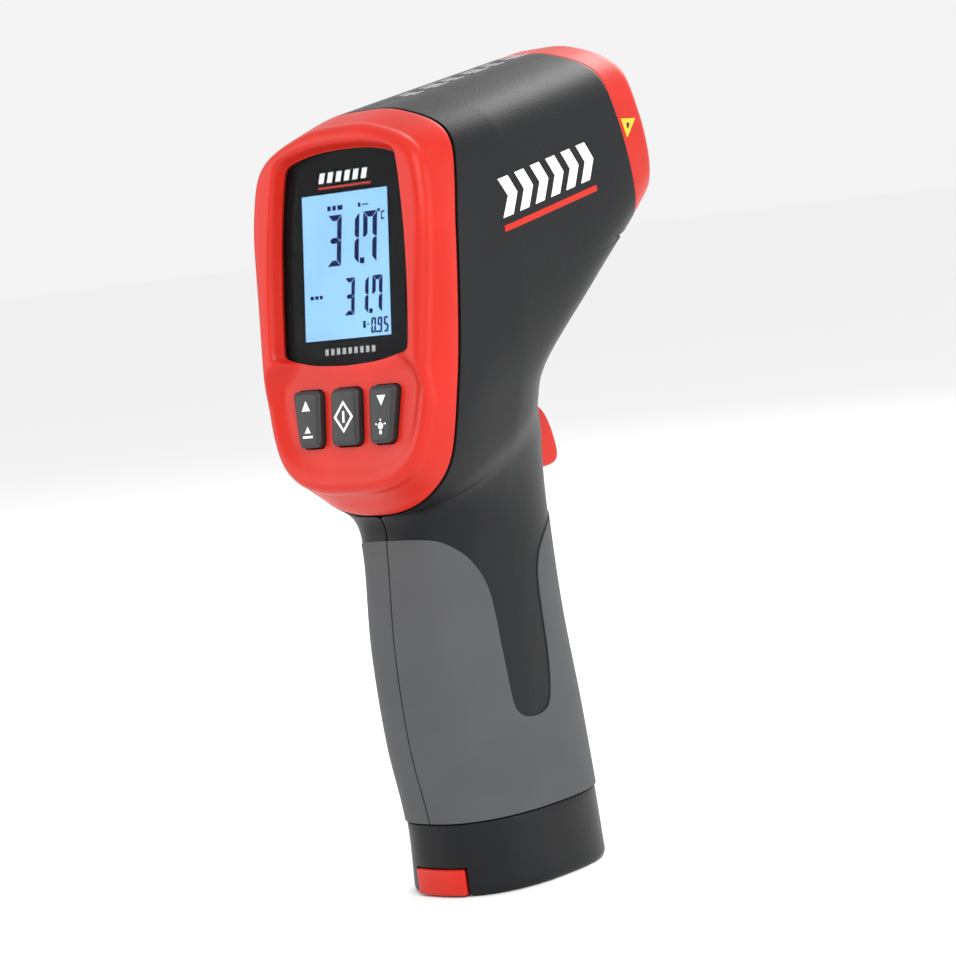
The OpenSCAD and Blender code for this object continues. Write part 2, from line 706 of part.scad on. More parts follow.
module marker_triangles() {
    y = nose_y - 9;
    z = nose_z + 1.6;
    r = 2.4;
    color([0.95, 0.8, 0.1]) for (m = [0, 1]) mirror([m, 0, 0])
        translate([side_x(y, z) + 0.25, y, z]) rotate([90, 0, 90 + 3.5]) linear_extrude(0.3)
            polygon([for (a = [30:120:270]) r * [cos(a), sin(a)]]);
}

// -------------------------------------------------------------------- trigger

switch_board_y = pivot_y - 12;
switch_board_thickness = 1.6;
switch_board_height = 15;
switch_board_z = pivot_z - 16;
trigger_back = pivot_y - 3.5;
push_z = pivot_z - 9;
module trigger() {
    p = [pivot_y, pivot_z];
    color([0.9, 0.2, 0.12]) difference() {
        translate([-trigger_half, 0, 0]) rotate([90, 0, 90]) linear_extrude(trigger_width) union() {
            polygon([p + [-3.5, 0], p + [-3.5, -14], p + [-1, -15.8], p + [6, -15.2],
                p + [12, -14.8], p + [14.8, -13.8], p + [15.4, -12], p + [15, -9.5],
                p + [13.6, -5], p + [11.5, -1.6], p + [8, 0.8], p + [4, 2.1], p + [0, 2.4]]);
            translate(p) circle(2.4);
        }
        translate([0, pivot_y, pivot_z])
            rod_x(trigger_pin_radius + 0.05, -trigger_half - 1, trigger_half + 1);
    }
}
module trigger_pin() {
    color("silver") translate([0, pivot_y, pivot_z]) rod_x(trigger_pin_radius, -pin_half, pin_half);
}
module trigger_spring() {
    color("silver") translate([3.4, switch_board_y + switch_board_thickness + 0.05, push_z])
        coil(2, 0.3, trigger_back - switch_board_y - switch_board_thickness - 0.1, 5);
}
module switch_board() {
    color([0.1, 0.4, 0.2]) block([-10.5, switch_board_y, switch_board_z],
        [10.5, switch_board_y + switch_board_thickness, switch_board_z + switch_board_height]);
}
switch_front = switch_board_y + switch_board_thickness + 3.4;
switch_x = -3.4;
module trigger_switch() {
    color([0.1, 0.1, 0.1]) difference() {
        block([switch_x - 3, switch_board_y + switch_board_thickness, push_z - 3],
            [switch_x + 3, switch_front, push_z + 3]);
        translate([switch_x, 0, push_z])
            rod_y(1.35, switch_board_y + switch_board_thickness + 0.6, switch_front + 1);
    }
}
module switch_plunger() {
    color([0.85, 0.85, 0.8]) translate([switch_x, 0, push_z])
        rod_y(1.3, switch_front - 1, trigger_back - running_gap);
}

// ------------------------------------------------------------- base and battery

battery_y = -1;
floor_z = 3;
battery_z = floor_z + 2;
tray_top = battery_z + battery_height - 6;
tray_half_x = battery_width / 2 + tray_wall + 0.15;
tray_half_y = battery_depth / 2 + tray_wall + 0.15;
cap_wall = 2.4;
latch_half = 7.2;
latch_high = 6.4;
latch_low = 0.5;
latch_y = -hand_deep + 4.8;
latch_stem = 1.4;
catch_half = 3.8;

function cap_slice(z, d) =
    let (s = slice(z / cap_height)) [s[0] + d, z, s[2] - d, z, s[4] - d, s[5]];
cap_joint = cap_height - fit_gap;
module battery_cap() {
    color([0.14, 0.14, 0.15]) difference() {
        loft([for (r = [[0, 1], [0.5, 0.4], [1.4, 0], [cap_height / 3, 0],
            [2 * cap_height / 3, 0], [cap_joint, 0]])
            ring_of(cap_slice(r[0], r[1]))], -1);
        loft([for (z = [floor_z, cap_height / 2, cap_height + 1])
            ring_of(cap_slice(z, cap_wall))], -1);
        block([-latch_half - running_gap, -hand_deep - 6, -1],
            [latch_half + running_gap, latch_y + latch_travel + running_gap, latch_high + running_gap]);
    }
}
module battery_tray() {
    color([0.2, 0.2, 0.21]) translate([0, battery_y, 0]) difference() {
        block([-tray_half_x, -tray_half_y, floor_z], [tray_half_x, tray_half_y, tray_top]);
        block([-tray_half_x + tray_wall, -tray_half_y + tray_wall, battery_z - 0.05],
            [tray_half_x - tray_wall, tray_half_y - tray_wall, tray_top + 1]);
        block([-tray_half_x - 1, -tray_half_y + 5, battery_z + 12],
            [0, tray_half_y - 5, tray_top + 1]);
        block([0, -tray_half_y + 7, battery_z + 12], [tray_half_x + 1, tray_half_y - 7, tray_top - 6]);
    }
}
module battery() {
    color([0.55, 0.55, 0.56]) translate([0, battery_y, 0]) {
        block([-battery_width / 2, -battery_depth / 2, battery_z],
            [battery_width / 2, battery_depth / 2, battery_z + battery_height - 3]);
        for (y = [-6.35, 6.35]) translate([0, y, battery_z + battery_height - 3.1])
            cylinder(r = y < 0 ? 3 : 4, h = 3.1);
    }
}
contact_z = battery_z + battery_height + running_gap;
module contact_pads() {
    color("gold") translate([0, battery_y, contact_z]) for (y = [-6.35, 6.35])
        translate([0, y, 0]) cylinder(r = 3.6, h = 0.5);
}
block_z = contact_z + 0.5;
block_height = 4;
module contact_block() {
    color([0.15, 0.15, 0.15]) translate([0, battery_y, 0]) difference() {
        block([-9.5, -12, block_z], [9.5, 12, block_z + block_height]);
        for (y = [-6.35, 6.35]) translate([0, y, 0]) cylinder(r = 1, h = block_z + 9);
    }
}
module latch_button() {
    color([0.9, 0.2, 0.12]) {
        intersection() {
            block([-latch_half, -hand_deep - 5, latch_low], [latch_half, latch_y, latch_high]);
            loft([for (r = [[0, 0.4], [1, -0.4], [2.5, -0.8], [latch_high, -0.6], [9, -0.6]])
                ring_of(cap_slice(r[0], r[1]))], -1);
        }
        block([-catch_half, latch_y - overlap / 4, floor_z + running_gap],
            [catch_half, latch_y + latch_stem, cap_height + 4]);
    }
}
module latch_spring() {
    from = latch_y + latch_stem + 0.05;
    color("silver") translate([0, from, 11]) coil(2, 0.3, battery_y - tray_half_y - 0.05 - from, 4);
}

left_housing();
right_housing();
left_grip();
right_grip();
bezel();
display_window();
window_mask();
key_left();
key_middle();
key_right();
keypad_mat();
lcd_panel();
lcd_backlight();
main_board();
board_components();
buzzer();
board_screws();
sensor_board();
sensor_flex();
thermopile();
ir_lens();
lens_tube();
lens_retainer();
laser_module();
laser_window();
front_plate();
nose_ring();
top_label();
side_badges();
marker_triangles();
trigger();
trigger_pin();
trigger_spring();
switch_board();
trigger_switch();
switch_plunger();
battery_cap();
battery_tray();
battery();
contact_block();
contact_pads();
latch_button();
latch_spring();
housing_screws();
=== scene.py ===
"""Looks of a pistol-grip infrared thermometer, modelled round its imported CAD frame."""

import math
from contextlib import contextmanager

import bpy
import numpy as np
from bpy.props import FloatProperty, FloatVectorProperty, PointerProperty
from mathutils import Matrix


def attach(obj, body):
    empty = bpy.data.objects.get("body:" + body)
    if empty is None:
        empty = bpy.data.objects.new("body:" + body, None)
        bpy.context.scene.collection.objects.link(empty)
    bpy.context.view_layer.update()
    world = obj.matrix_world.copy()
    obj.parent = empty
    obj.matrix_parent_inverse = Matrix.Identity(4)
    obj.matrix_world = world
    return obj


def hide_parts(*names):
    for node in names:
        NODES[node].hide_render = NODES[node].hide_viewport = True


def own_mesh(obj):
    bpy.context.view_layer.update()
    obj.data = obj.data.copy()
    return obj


bl_info = {
    "name": "Infrared thermometer",
    "version": (1, 0, 0),
    "blender": (4, 2, 0),
    "location": "View3D > Sidebar > Thermometer",
    "description": "Builds the thermometer's shells, display, keys and stage round the CAD frame",
    "category": "Object",
}

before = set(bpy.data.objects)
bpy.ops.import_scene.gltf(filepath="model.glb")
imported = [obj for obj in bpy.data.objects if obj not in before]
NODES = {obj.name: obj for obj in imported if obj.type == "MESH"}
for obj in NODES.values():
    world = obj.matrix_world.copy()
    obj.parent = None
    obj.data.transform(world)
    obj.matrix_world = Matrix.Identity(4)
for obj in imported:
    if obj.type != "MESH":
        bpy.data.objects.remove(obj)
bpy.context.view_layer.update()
MM = 0.001


# ---- properties


def length(name, description, default):
    return FloatProperty(name=name, description=description, default=default, unit="LENGTH")


class ThermometerSizes(bpy.types.PropertyGroup):
    """Sizes that a user would change"""

    wall: length("Wall", "Thickness of the housings and the bezel", 0.0022)
    seam: length("Seam", "Half the gap between the two housings", 0.0002)
    edge: length("Edge", "Rounding of the moulded edges", 0.0003)
    grip_proud: length("Grip proud", "How far the grips stand out", 0.00025)
    hood: length("Hood", "How far the hood stands over the display face", 0.0028)
    key_rise: length("Key rise", "How far the keys stand over the key panel", 0.0016)
    nose_rounding: length("Nose rounding", "Radius of the nose ring's front edge", 0.0032)


def colour(name, description, default):
    return FloatVectorProperty(
        name=name, description=description, default=default, size=3, min=0, max=1, subtype="COLOR"
    )


class ThermometerColours(bpy.types.PropertyGroup):
    """Colours that a user would change"""

    housing: colour("Housing", "Charcoal of the housings", (0.0075, 0.008, 0.009))
    grip: colour("Grip", "Grey of the grips", (0.075, 0.0765, 0.079))
    trim: colour("Trim", "Red of the bezel, nose ring, trigger and latch", (0.52, 0.015, 0.006))
    display: colour("Display", "Lit background of the display", (0.2, 0.42, 0.74))
    digit: colour("Digits", "Dark segments of the display", (0.006, 0.012, 0.07))
    key: colour("Keys", "Charcoal of the keys", (0.014, 0.0145, 0.016))
    mark: colour("Marks", "White of the printed marks", (0.86, 0.86, 0.86))
    floor: colour("Floor", "Pale floor", (0.97, 0.97, 0.97))


def sizes():
    return bpy.context.scene.thermometer_sizes


def colours():
    return bpy.context.scene.thermometer_colours


# ---- the body's form
# Numbers without a unit are millimetres in the CAD frame: Y towards the nose, Z up.

NECK_Z = 86
HEAD_HALF = 28.5
HAND_HALF = 16.5
HAND_DEEP = 26
CAP_HEIGHT = 17
FACE_Y, FACE_Z, FACE_TILT = -30.5, 146, 8
NOSE_Y, NOSE_Z, PITCH = 54.5, 167, 11
NOSE_NARROWING = 0.13
BEZEL_DEPTH = 6
RING_LENGTH = 11.5
GAP = 0.2
SIDE_NARROWS_FROM = -5
# The head ends in a dome, so the last station is the one below the top turned over
TOP = 13


def grip_at(share):
    return CAP_HEIGHT + share * (NECK_Z - CAP_HEIGHT)


# Rear y, rear z, front y, front z, half width, corner power
STATIONS = np.array(
    [
        [-HAND_DEEP + 2, 0, HAND_DEEP + 1, 0, HAND_HALF + 0.7, 2.6],
        [-HAND_DEEP + 1, CAP_HEIGHT, HAND_DEEP + 1, CAP_HEIGHT, HAND_HALF - 0.2, 2.5],
        [-HAND_DEEP - 2.5, grip_at(0.27), HAND_DEEP - 0.5, grip_at(0.3), HAND_HALF, 2.4],
        [-HAND_DEEP - 3.5, grip_at(0.58), HAND_DEEP - 3.5, grip_at(0.65), HAND_HALF, 2.4],
        [-HAND_DEEP - 2, grip_at(0.88), HAND_DEEP - 4.5, grip_at(1.03), HAND_HALF, 2.4],
        [-HAND_DEEP - 2, NECK_Z, HAND_DEEP - 6, NECK_Z + 18, HAND_HALF + 2, 2.6],
        [FACE_Y - 2.5, NECK_Z + 5, HAND_DEEP - 10.5, NECK_Z + 26, HEAD_HALF - 6, 2.9],
        [FACE_Y - 11.5, NECK_Z + 13, HAND_DEEP - 8, NECK_Z + 35, HEAD_HALF - 3.3, 3.5],
        [FACE_Y - 11.5, NECK_Z + 29, NOSE_Y - 17.5, NECK_Z + 51, HEAD_HALF - 0.6, 4.5],
        [FACE_Y - 8.5, NECK_Z + 54, NOSE_Y + 6.5, NECK_Z + 70, HEAD_HALF + 0.5, 6],
        [FACE_Y - 5.5, NECK_Z + 72, NOSE_Y + 19.5, NECK_Z + 90, HEAD_HALF - 0.3, 8],
        [FACE_Y - 3.5, NECK_Z + 83, NOSE_Y + 24.5, NECK_Z + 103, HEAD_HALF - 4.2, 9],
        [FACE_Y - 2.5, NECK_Z + 88.8, NOSE_Y + 25.5, NECK_Z + 109, HEAD_HALF - 17, 9],
        [FACE_Y - 2.5, NECK_Z + 89.8, NOSE_Y + 25.5, NECK_Z + 110, 0, 9],
        [FACE_Y - 2.5, NECK_Z + 88.8, NOSE_Y + 25.5, NECK_Z + 109, 17 - HEAD_HALF, 9],
    ],
    float,
)
FACE = (FACE_Y, FACE_Z, FACE_TILT)
PARTING = (FACE_Y + BEZEL_DEPTH, FACE_Z, FACE_TILT - 1.5)
NOSE = (NOSE_Y, NOSE_Z, -PITCH)


def through_points(a, b, c, d, f):
    """Point at share f from b to c on a curve through a, b, c and d."""
    bend = (2 * a - 5 * b + 4 * c - d) * f**2
    return 0.5 * (2 * b + (c - a) * f + bend + (3 * b - a - 3 * c + d) * f**3)


def slice_at(t):
    """Slices of the form at the places t, one row each."""
    t = np.atleast_1d(np.asarray(t, float))
    i = np.clip(np.floor(t).astype(int), 0, TOP - 1)
    b, c = STATIONS[i], STATIONS[i + 1]
    a = np.where((i == 0)[:, None], 2 * b - c, STATIONS[np.maximum(i - 1, 0)])
    d = STATIONS[np.minimum(i + 2, TOP + 1)]
    return through_points(a, b, c, d, (t - i)[:, None])


def spine(s):
    """Middle of each slice and half its span from rear to front, both as y and z."""
    middle = (s[..., 0] + s[..., 2]) / 2, (s[..., 1] + s[..., 3]) / 2
    return middle, ((s[..., 2] - s[..., 0]) / 2, (s[..., 3] - s[..., 1]) / 2)


def narrowing_at(y):
    """Share of the half width that is left as the head narrows towards the nose."""
    return 1 - NOSE_NARROWING * np.maximum(0, y - SIDE_NARROWS_FROM) / (NOSE_Y - SIDE_NARROWS_FROM)


def form_point(s, w):
    """Point of slices s at w, from -1 at the rear to 1 at the front, on the right side."""
    (my, mz), (ay, az) = spine(s)
    y, z = my + w * ay, mz + w * az
    n = s[..., 5]
    flat = np.maximum(0, 1 - np.abs(w) ** n) ** (1 / n)
    narrowing = narrowing_at(y)
    return np.stack([np.maximum(0, s[..., 4]) * flat * narrowing, y, z], -1)


def plane_axes(plane):
    lean = math.radians(plane[2])
    return np.array([math.cos(lean), -math.sin(lean)]), np.array([math.sin(lean), math.cos(lean)])


def on_plane(plane, x, v, depth=0.0):
    """Points from their place on a plane: x, height up the plane and depth through it."""
    through, up = plane_axes(plane)
    x, v, depth = np.broadcast_arrays(x, v, depth)
    y = plane[0] + depth * through[0] + v * up[0]
    z = plane[1] + depth * through[1] + v * up[1]
    return np.stack([x, y, z], -1)


def cut_w(s, plane, depth):
    (my, mz), (ay, az) = spine(s)
    through, _ = plane_axes(plane)
    far = (my - plane[0]) * through[0] + (mz - plane[1]) * through[1]
    return (depth - far) / (ay * through[0] + az * through[1])


def parting_depth(height):
    """How far behind its plane the bezel's edge lies: it runs back at the top and the chin."""
    return 3 * ease(height, 4, 31) + 1.6 * ease(-height, 30, 56)


def parting_w(s, gap=0.0):
    """Place w where slices s meet the bezel's edge."""
    w = np.clip(cut_w(s, PARTING, 0), -1, 1)
    for _ in range(4):
        (my, mz), (ay, az) = spine(s)
        _, up = plane_axes(PARTING)
        height = (my + w * ay - PARTING[0]) * up[0] + (mz + w * az - PARTING[1]) * up[1]
        w = np.clip(cut_w(s, PARTING, parting_depth(height) + gap), -1, 1)
    return w


def outline_on(plane, depth, low=3.0, count=5000):
    """Right half of the form's outline on a plane, from the bottom to the top: x and height."""
    t = np.linspace(low, TOP, count)
    s = slice_at(t)
    w = cut_w(s, plane, depth)
    inside = np.abs(w) < 1
    first = np.argmax(inside)
    t0, t1 = t[max(0, first - 1)], t[first]
    finer = t0 + (t1 - t0) * np.linspace(0, 1, 60) ** 2
    t = np.concatenate([finer, t[first + 1 :]])
    s = slice_at(t)
    w = np.clip(cut_w(s, plane, depth), -1, 1)
    p = form_point(s, w)
    _, up = plane_axes(plane)
    v = (p[:, 1] - plane[0]) * up[0] + (p[:, 2] - plane[1]) * up[1]
    x = p[:, 0]
    x[0] = 0
    x[-1] = 0
    return x, v


def spread(x, v, count, bias=None):
    """Places that share a line out evenly by its length."""
    step = np.hypot(np.diff(x), np.diff(v))
    along = np.concatenate([[0], np.cumsum(step)])
    along /= along[-1]
    if bias is not None:
        along = (along + bias) / 2
    return np.interp(np.linspace(0, 1, count), along, np.arange(len(x)))


def pick(line, places):
    return np.interp(places, np.arange(len(line)), line)


def side_x(y, z):
    """Half width of the body where its side has this y and z."""
    y, z = np.broadcast_arrays(np.asarray(y, float), np.asarray(z, float))
    shape = y.shape
    y, z = y.ravel(), z.ravel()
    low, high = np.full(y.shape, 0.01), np.full(y.shape, TOP - 0.001)
    for _ in range(26):
        m = (low + high) / 2
        s = slice_at(m)
        (my, mz), (ay, az) = spine(s)
        above = ay * (z - mz) - az * (y - my) > 0
        low = np.where(above, m, low)
        high = np.where(above, high, m)
    s = slice_at(low)
    (my, mz), (ay, az) = spine(s)
    w = ((y - my) * ay + (z - mz) * az) / (ay**2 + az**2)
    return form_point(s, w)[:, 0].reshape(shape)


def top_point(x, y, lift):
    """Point on top of the head over x and y."""
    x, y = np.broadcast_arrays(np.asarray(x, float), np.asarray(y, float))
    t = np.linspace(TOP - 1.5, TOP, 400)
    widths = slice_at(t)[:, 4]
    narrowing = narrowing_at(y)
    place = np.interp(-np.abs(x) / narrowing, -widths, t)
    s = slice_at(place.ravel()).reshape(place.shape + (6,))
    (my, mz), (ay, az) = spine(s)
    w = (y - my) / ay
    return np.stack([x, y, mz + w * az + lift], -1)


def smooth_line(points, steps, closed=False):
    """Curve through given points."""
    p = np.array(points, float)
    n = len(p)
    out = []
    for i in range(n if closed else n - 1):
        if closed:
            a, b, c, d = p[i - 1], p[i], p[(i + 1) % n], p[(i + 2) % n]
        else:
            b, c = p[i], p[i + 1]
            a = p[i - 1] if i else 2 * b - c
            d = p[i + 2] if i + 2 < n else 2 * c - b
        for f in np.arange(steps) / steps:
            out.append(through_points(a, b, c, d, f))
    if not closed:
        out.append(p[-1])
    return np.array(out)


# ---- modelling helpers


def deselect():
    if bpy.context.object and bpy.context.object.mode != "OBJECT":
        bpy.ops.object.mode_set(mode="OBJECT")
    bpy.ops.object.select_all(action="DESELECT")


def make_active(obj):
    deselect()
    obj.select_set(True)
    bpy.context.view_layer.objects.active = obj


def named(obj, name):
    obj.name = name
    obj.data.name = name
    return obj


@contextmanager
def editing():
    bpy.ops.object.mode_set(mode="EDIT")
    yield
    bpy.ops.object.mode_set(mode="OBJECT")


def both_sides(half):
    """Rows of the right half, then the same rows in reverse on the left."""
    half = np.array(half).transpose(1, 0, 2)
    other = half[::-1].copy()
    other[..., 0] *= -1
    return np.concatenate([half, other[1:]])


def set_points(obj, points):
    obj.data.vertices.foreach_set("co", (np.asarray(points, float) * MM).ravel())
    obj.data.update()


def sheet(name, points, closed=False):
    """A grid primitive draped over points[i, j]; a closed one is merged and faces outwards."""
    deselect()
    rows, cols = points.shape[:2]
    bpy.ops.mesh.primitive_grid_add(x_subdivisions=rows - 1, y_subdivisions=cols - 1, size=2)
    obj = named(bpy.context.object, name)
    flat = np.zeros(len(obj.data.vertices) * 3)
    obj.data.vertices.foreach_get("co", flat)
    flat = flat.reshape(-1, 3)
    i = np.rint((flat[:, 0] + 1) / 2 * (rows - 1)).astype(int)
    j = np.rint((flat[:, 1] + 1) / 2 * (cols - 1)).astype(int)
    set_points(obj, points[i, j])
    if closed:
        with editing():
            bpy.ops.mesh.select_all(action="SELECT")
            bpy.ops.mesh.remove_doubles(threshold=2e-6)
            bpy.ops.mesh.normals_make_consistent(inside=False)
    return obj


def prism(name, outline, place, low, high):
    """An outline drawn as a filled circle primitive, extruded from depth low to depth high.

    place(a, b, depth) gives the point of a drawing place at a depth."""
    deselect()
    outline = np.asarray(outline, float)
    bpy.ops.mesh.primitive_circle_add(vertices=len(outline), fill_type="NGON")
    obj = named(bpy.context.object, name)
    a, b = outline[:, 0], outline[:, 1]
    set_points(obj, place(a, b, np.full(len(a), float(low))))
    with editing():
        bpy.ops.mesh.select_all(action="SELECT")
        bpy.ops.mesh.extrude_region_move()
    picked = [v.index for v in obj.data.vertices if v.select]
    far = place(a, b, np.full(len(a), float(high))) * MM
    near = place(a, b, np.full(len(a), float(low))) * MM
    for index in picked:
        at = np.array(obj.data.vertices[index].co)
        k = int(np.argmin(((near - at) ** 2).sum(1)))
        obj.data.vertices[index].co = far[k]
    make_active(obj)
    with editing():
        bpy.ops.mesh.select_all(action="SELECT")
        bpy.ops.mesh.normals_make_consistent(inside=False)
    return obj


def modify(obj, kind, **settings):
    make_active(obj)
    modifier = obj.modifiers.new(kind.title(), kind)
    for key, value in settings.items():
        setattr(modifier, key, value)
    bpy.ops.object.modifier_apply(modifier=modifier.name)
    return obj


def soften(obj, width, segments=3, angle=40):
    limit = math.radians(angle)
    modify(obj, "BEVEL", width=width, segments=segments, limit_method="ANGLE", angle_limit=limit)


def boolean(obj, tool, operation="DIFFERENCE"):
    modify(obj, "BOOLEAN", object=tool, operation=operation, solver="EXACT")
    bpy.data.objects.remove(tool)
    return obj


def mirrored(obj, name):
    """A copy across the middle plane, with its faces turned outwards again."""
    copy = obj.copy()
    copy.data = obj.data.copy()
    bpy.context.scene.collection.objects.link(copy)
    named(copy, name)
    copy.data.transform(Matrix.Scale(-1, 4, (1, 0, 0)))
    copy.data.flip_normals()
    return copy


def join(name, parts):
    make_active(parts[0])
    for part in parts:
        part.select_set(True)
    bpy.ops.object.join()
    return named(bpy.context.object, name)


def finish_piece(obj, body, material, nodes=(), angle=35):
    """Smooth shading, a material, a body to ride on and the CAD nodes that the piece stands for."""
    make_active(obj)
    bpy.ops.object.shade_smooth_by_angle(angle=math.radians(angle))
    obj.data.materials.clear()
    obj.data.materials.append(material)
    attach(obj, body)
    if nodes:
        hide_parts(*nodes)


# ---- materials


def surface(name, base, rough, bump=0.0, scale=900.0, second=None, metal=0.0, coat=0.0, **sockets):
    """A moulded or metal surface: mottled colour, worn roughness and a fine bump."""
    old = bpy.data.materials.get(name)
    if old:
        return old
    material = bpy.data.materials.new(name)
    material.use_nodes = True
    tree = material.node_tree
    shader = tree.nodes["Principled BSDF"]
    sockets |= {"Metallic": metal, "Coat_Weight": coat, "Coat_Roughness": 0.12}
    for key, value in sockets.items():
        shader.inputs[key.replace("_", " ")].default_value = value

    def add(kind, **values):
        node = tree.nodes.new("ShaderNode" + kind)
        for key, value in values.items():
            node.inputs[key.replace("_", " ")].default_value = value
        return node

    def link(node, output, other, socket):
        tree.links.new(node.outputs[output], other.inputs[socket])

    place = add("TexCoord")
    broad = add("TexNoise", Scale=55, Detail=5)
    link(place, "Object", broad, "Vector")
    tone = add("ValToRGB")
    second = second or [0.86 * c for c in base]
    for element, position, shade in zip(tone.color_ramp.elements, (0.3, 0.7), (second, base)):
        element.position = position
        element.color = (*shade, 1)
    link(broad, "Fac", tone, "Fac")
    link(tone, "Color", shader, "Base Color")
    wear = add("MapRange", To_Min=rough * 0.9, To_Max=min(1, rough * 1.12))
    link(broad, "Fac", wear, "Value")
    link(wear, "Result", shader, "Roughness")
    if bump:
        grain = add("TexNoise", Scale=scale, Detail=3)
        link(place, "Object", grain, "Vector")
        relief = add("Bump", Strength=bump, Distance=0.0002)
        link(grain, "Fac", relief, "Height")
        link(relief, "Normal", shader, "Normal")
    return material


def plastic(name, base, rough=0.42, bump=0.25):
    return surface(name, tuple(base), rough, bump, 1500)


def housing_material():
    return surface("charcoal_abs", tuple(colours().housing), 0.4, 0.3, 2200, Specular_IOR_Level=0.16)


def grip_material():
    return surface("grey_rubber", tuple(colours().grip), 0.62, 0.5, 1700, Specular_IOR_Level=0.16)


def trim_material():
    return surface("red_plastic", tuple(colours().trim), 0.38, 0.12, 1800, Specular_IOR_Level=0.26)


def mark_material():
    return plastic("white_print", colours().mark, 0.5, 0.1)


def grey_material():
    return plastic("grey_print", (0.42, 0.42, 0.42), 0.5, 0)


def glow_material(name, base, strength):
    material = plastic(name, base, 0.4, 0)
    shader = material.node_tree.nodes["Principled BSDF"]
    shader.inputs["Emission Color"].default_value = (*base, 1)
    shader.inputs["Emission Strength"].default_value = strength
    return material


def glass_material(name, tint, rough=0.02):
    material = surface(name, tint, rough, 0, second=tuple(0.97 * c for c in tint))
    shader = material.node_tree.nodes["Principled BSDF"]
    shader.inputs["Transmission Weight"].default_value = 1
    shader.inputs["IOR"].default_value = 1.06
    return material


# ---- shells, grips

SHELL_FRONT_STEP = RING_LENGTH + GAP


def with_corners(t):
    """Moves the nearest row to each place where the shell's edge turns a corner."""
    fine = np.linspace(t[0], t[-1], 40001)
    s = slice_at(fine)
    free = (parting_w(s, GAP) <= -1, cut_w(s, NOSE, -SHELL_FRONT_STEP) >= 1)
    for open_end in free:
        corner = fine[np.argmin(open_end)]
        t[np.argmin(np.abs(t - corner))] = corner
    return t


def shell_points(low, high, rows, cols, lift=0.0, full=False):
    """Points of the right-hand shell between two places t, outwards by lift.

    A full one runs from seam to seam; otherwise the bezel's edge and the nose cut it off."""
    t = np.linspace(low, high, rows)
    if not full:
        t = with_corners(t)
    s = slice_at(t)
    rear = np.full(rows, -1.0) if full else parting_w(s, GAP)
    front = np.full(rows, 1.0) if full else np.clip(cut_w(s, NOSE, -SHELL_FRONT_STEP), -1, 1)
    out = np.zeros((cols, rows, 3))
    dense = 900
    for k in range(rows):
        n = s[k, 5]
        start = math.acos(np.clip(-np.sign(rear[k]) * abs(rear[k]) ** (n / 2), -1, 1))
        end = math.acos(np.clip(-np.sign(front[k]) * abs(front[k]) ** (n / 2), -1, 1))
        f = np.linspace(0, 1, dense)
        turn = start + (end - start) * (f - 0.8 * np.sin(2 * math.pi * f) / (2 * math.pi))
        c = np.cos(turn)
        w = -np.sign(c) * np.abs(c) ** (2 / n)
        w[0], w[-1] = rear[k], front[k]
        line = form_point(np.repeat(s[k : k + 1], dense, 0), w)
        step = np.linalg.norm(np.diff(line, axis=0), axis=1)
        along = np.concatenate([[0], np.cumsum(step)])
        along = along / max(along[-1], 1e-9)
        mixed = 0.75 * along + 0.25 * f
        for axis in range(3):
            out[:, k, axis] = np.interp(np.linspace(0, 1, cols), mixed, line[:, axis])
    if lift:
        du = np.gradient(out, axis=0)
        dv = np.gradient(out, axis=1)
        normal = np.cross(du, dv)
        normal /= np.linalg.norm(normal, axis=2, keepdims=True) + 1e-12
        out = out + lift * normal
    return out


# The grip's upper edge on the right side, from the rear seam round the tongue to the front: y, z
GRIP_EDGE = [
    (-46, 81.6), (-36, 82.3), (-30, 82.5), (-26, 82), (-22.5, 80.5), (-17.3, 75.9),
    (-13.6, 68.7), (-12.2, 57), (-11.3, 49), (-10.3, 42), (-8.3, 39.2), (-5, 38.1),
    (-0.8, 38.3), (2.2, 40), (3.7, 44.7), (4.3, 52), (4, 61), (4.2, 69),
    (6.4, 74.6), (11.2, 78.8), (17, 81.6), (24, 83), (46, 83.6),
]
GRIP_LOW = CAP_HEIGHT + 0.16
SCREW_PLACES = [(18, 30), (14.5, 66), (-10, 110), (22, 142), (-2, 170)]
SCREW_HOLE = 2.85
SCREW_FLOOR = 5
GRIP_THICKNESS = 0.0009
# Rows and columns of the two meshes, and the places t that the grip's mesh runs between
HOUSING_MESH, GRIP_MESH = (150, 72), (90, 72)
GRIP_SPAN = (0.9, 5.6)
# The trigger's slot in the front of the housings: y from, y to, z from, z to, half width
SLOT = (12, 40, 89.5, 110, 6.9)


def side_place(a, b, depth):
    return np.stack([depth, a, b], -1)


def screw_holes(obj):
    """Counterbores for the five housing screws, from the left."""
    turn = np.linspace(0, 2 * math.pi, 33)[:-1]
    for y, z in SCREW_PLACES:
        ring = np.stack([y + SCREW_HOLE * np.cos(turn), z + SCREW_HOLE * np.sin(turn)], 1)
        boolean(obj, prism("screw_hole_tool", ring, side_place, -HEAD_HALF - 12, -SCREW_FLOOR))
    return obj


class THERMO_OT_housings(bpy.types.Operator):
    """Models the two housings that meet on the middle seam"""

    bl_idname = "thermo.housings"
    bl_label = "Add housings"

    def execute(self, context):
        size = sizes()
        points = shell_points(1 + GAP / CAP_HEIGHT, TOP, *HOUSING_MESH)
        points[..., 0] += size.seam / MM
        right = sheet("right_housing_shell", points)
        modify(right, "SOLIDIFY", thickness=size.wall, offset=-1)
        soften(right, size.edge, 2, 50)
        y0, y1, z0, z1, half = SLOT
        slot = [(y0, z0), (y1, z0), (y1, z1), (y0, z1)]
        boolean(right, prism("slot_tool", slot, side_place, -half, half))
        left = mirrored(right, "left_housing_shell")
        screw_holes(left)
        for obj, node in ((right, "right_housing"), (left, "left_housing")):
            finish_piece(obj, "root", housing_material(), [node], 38)
        return {"FINISHED"}


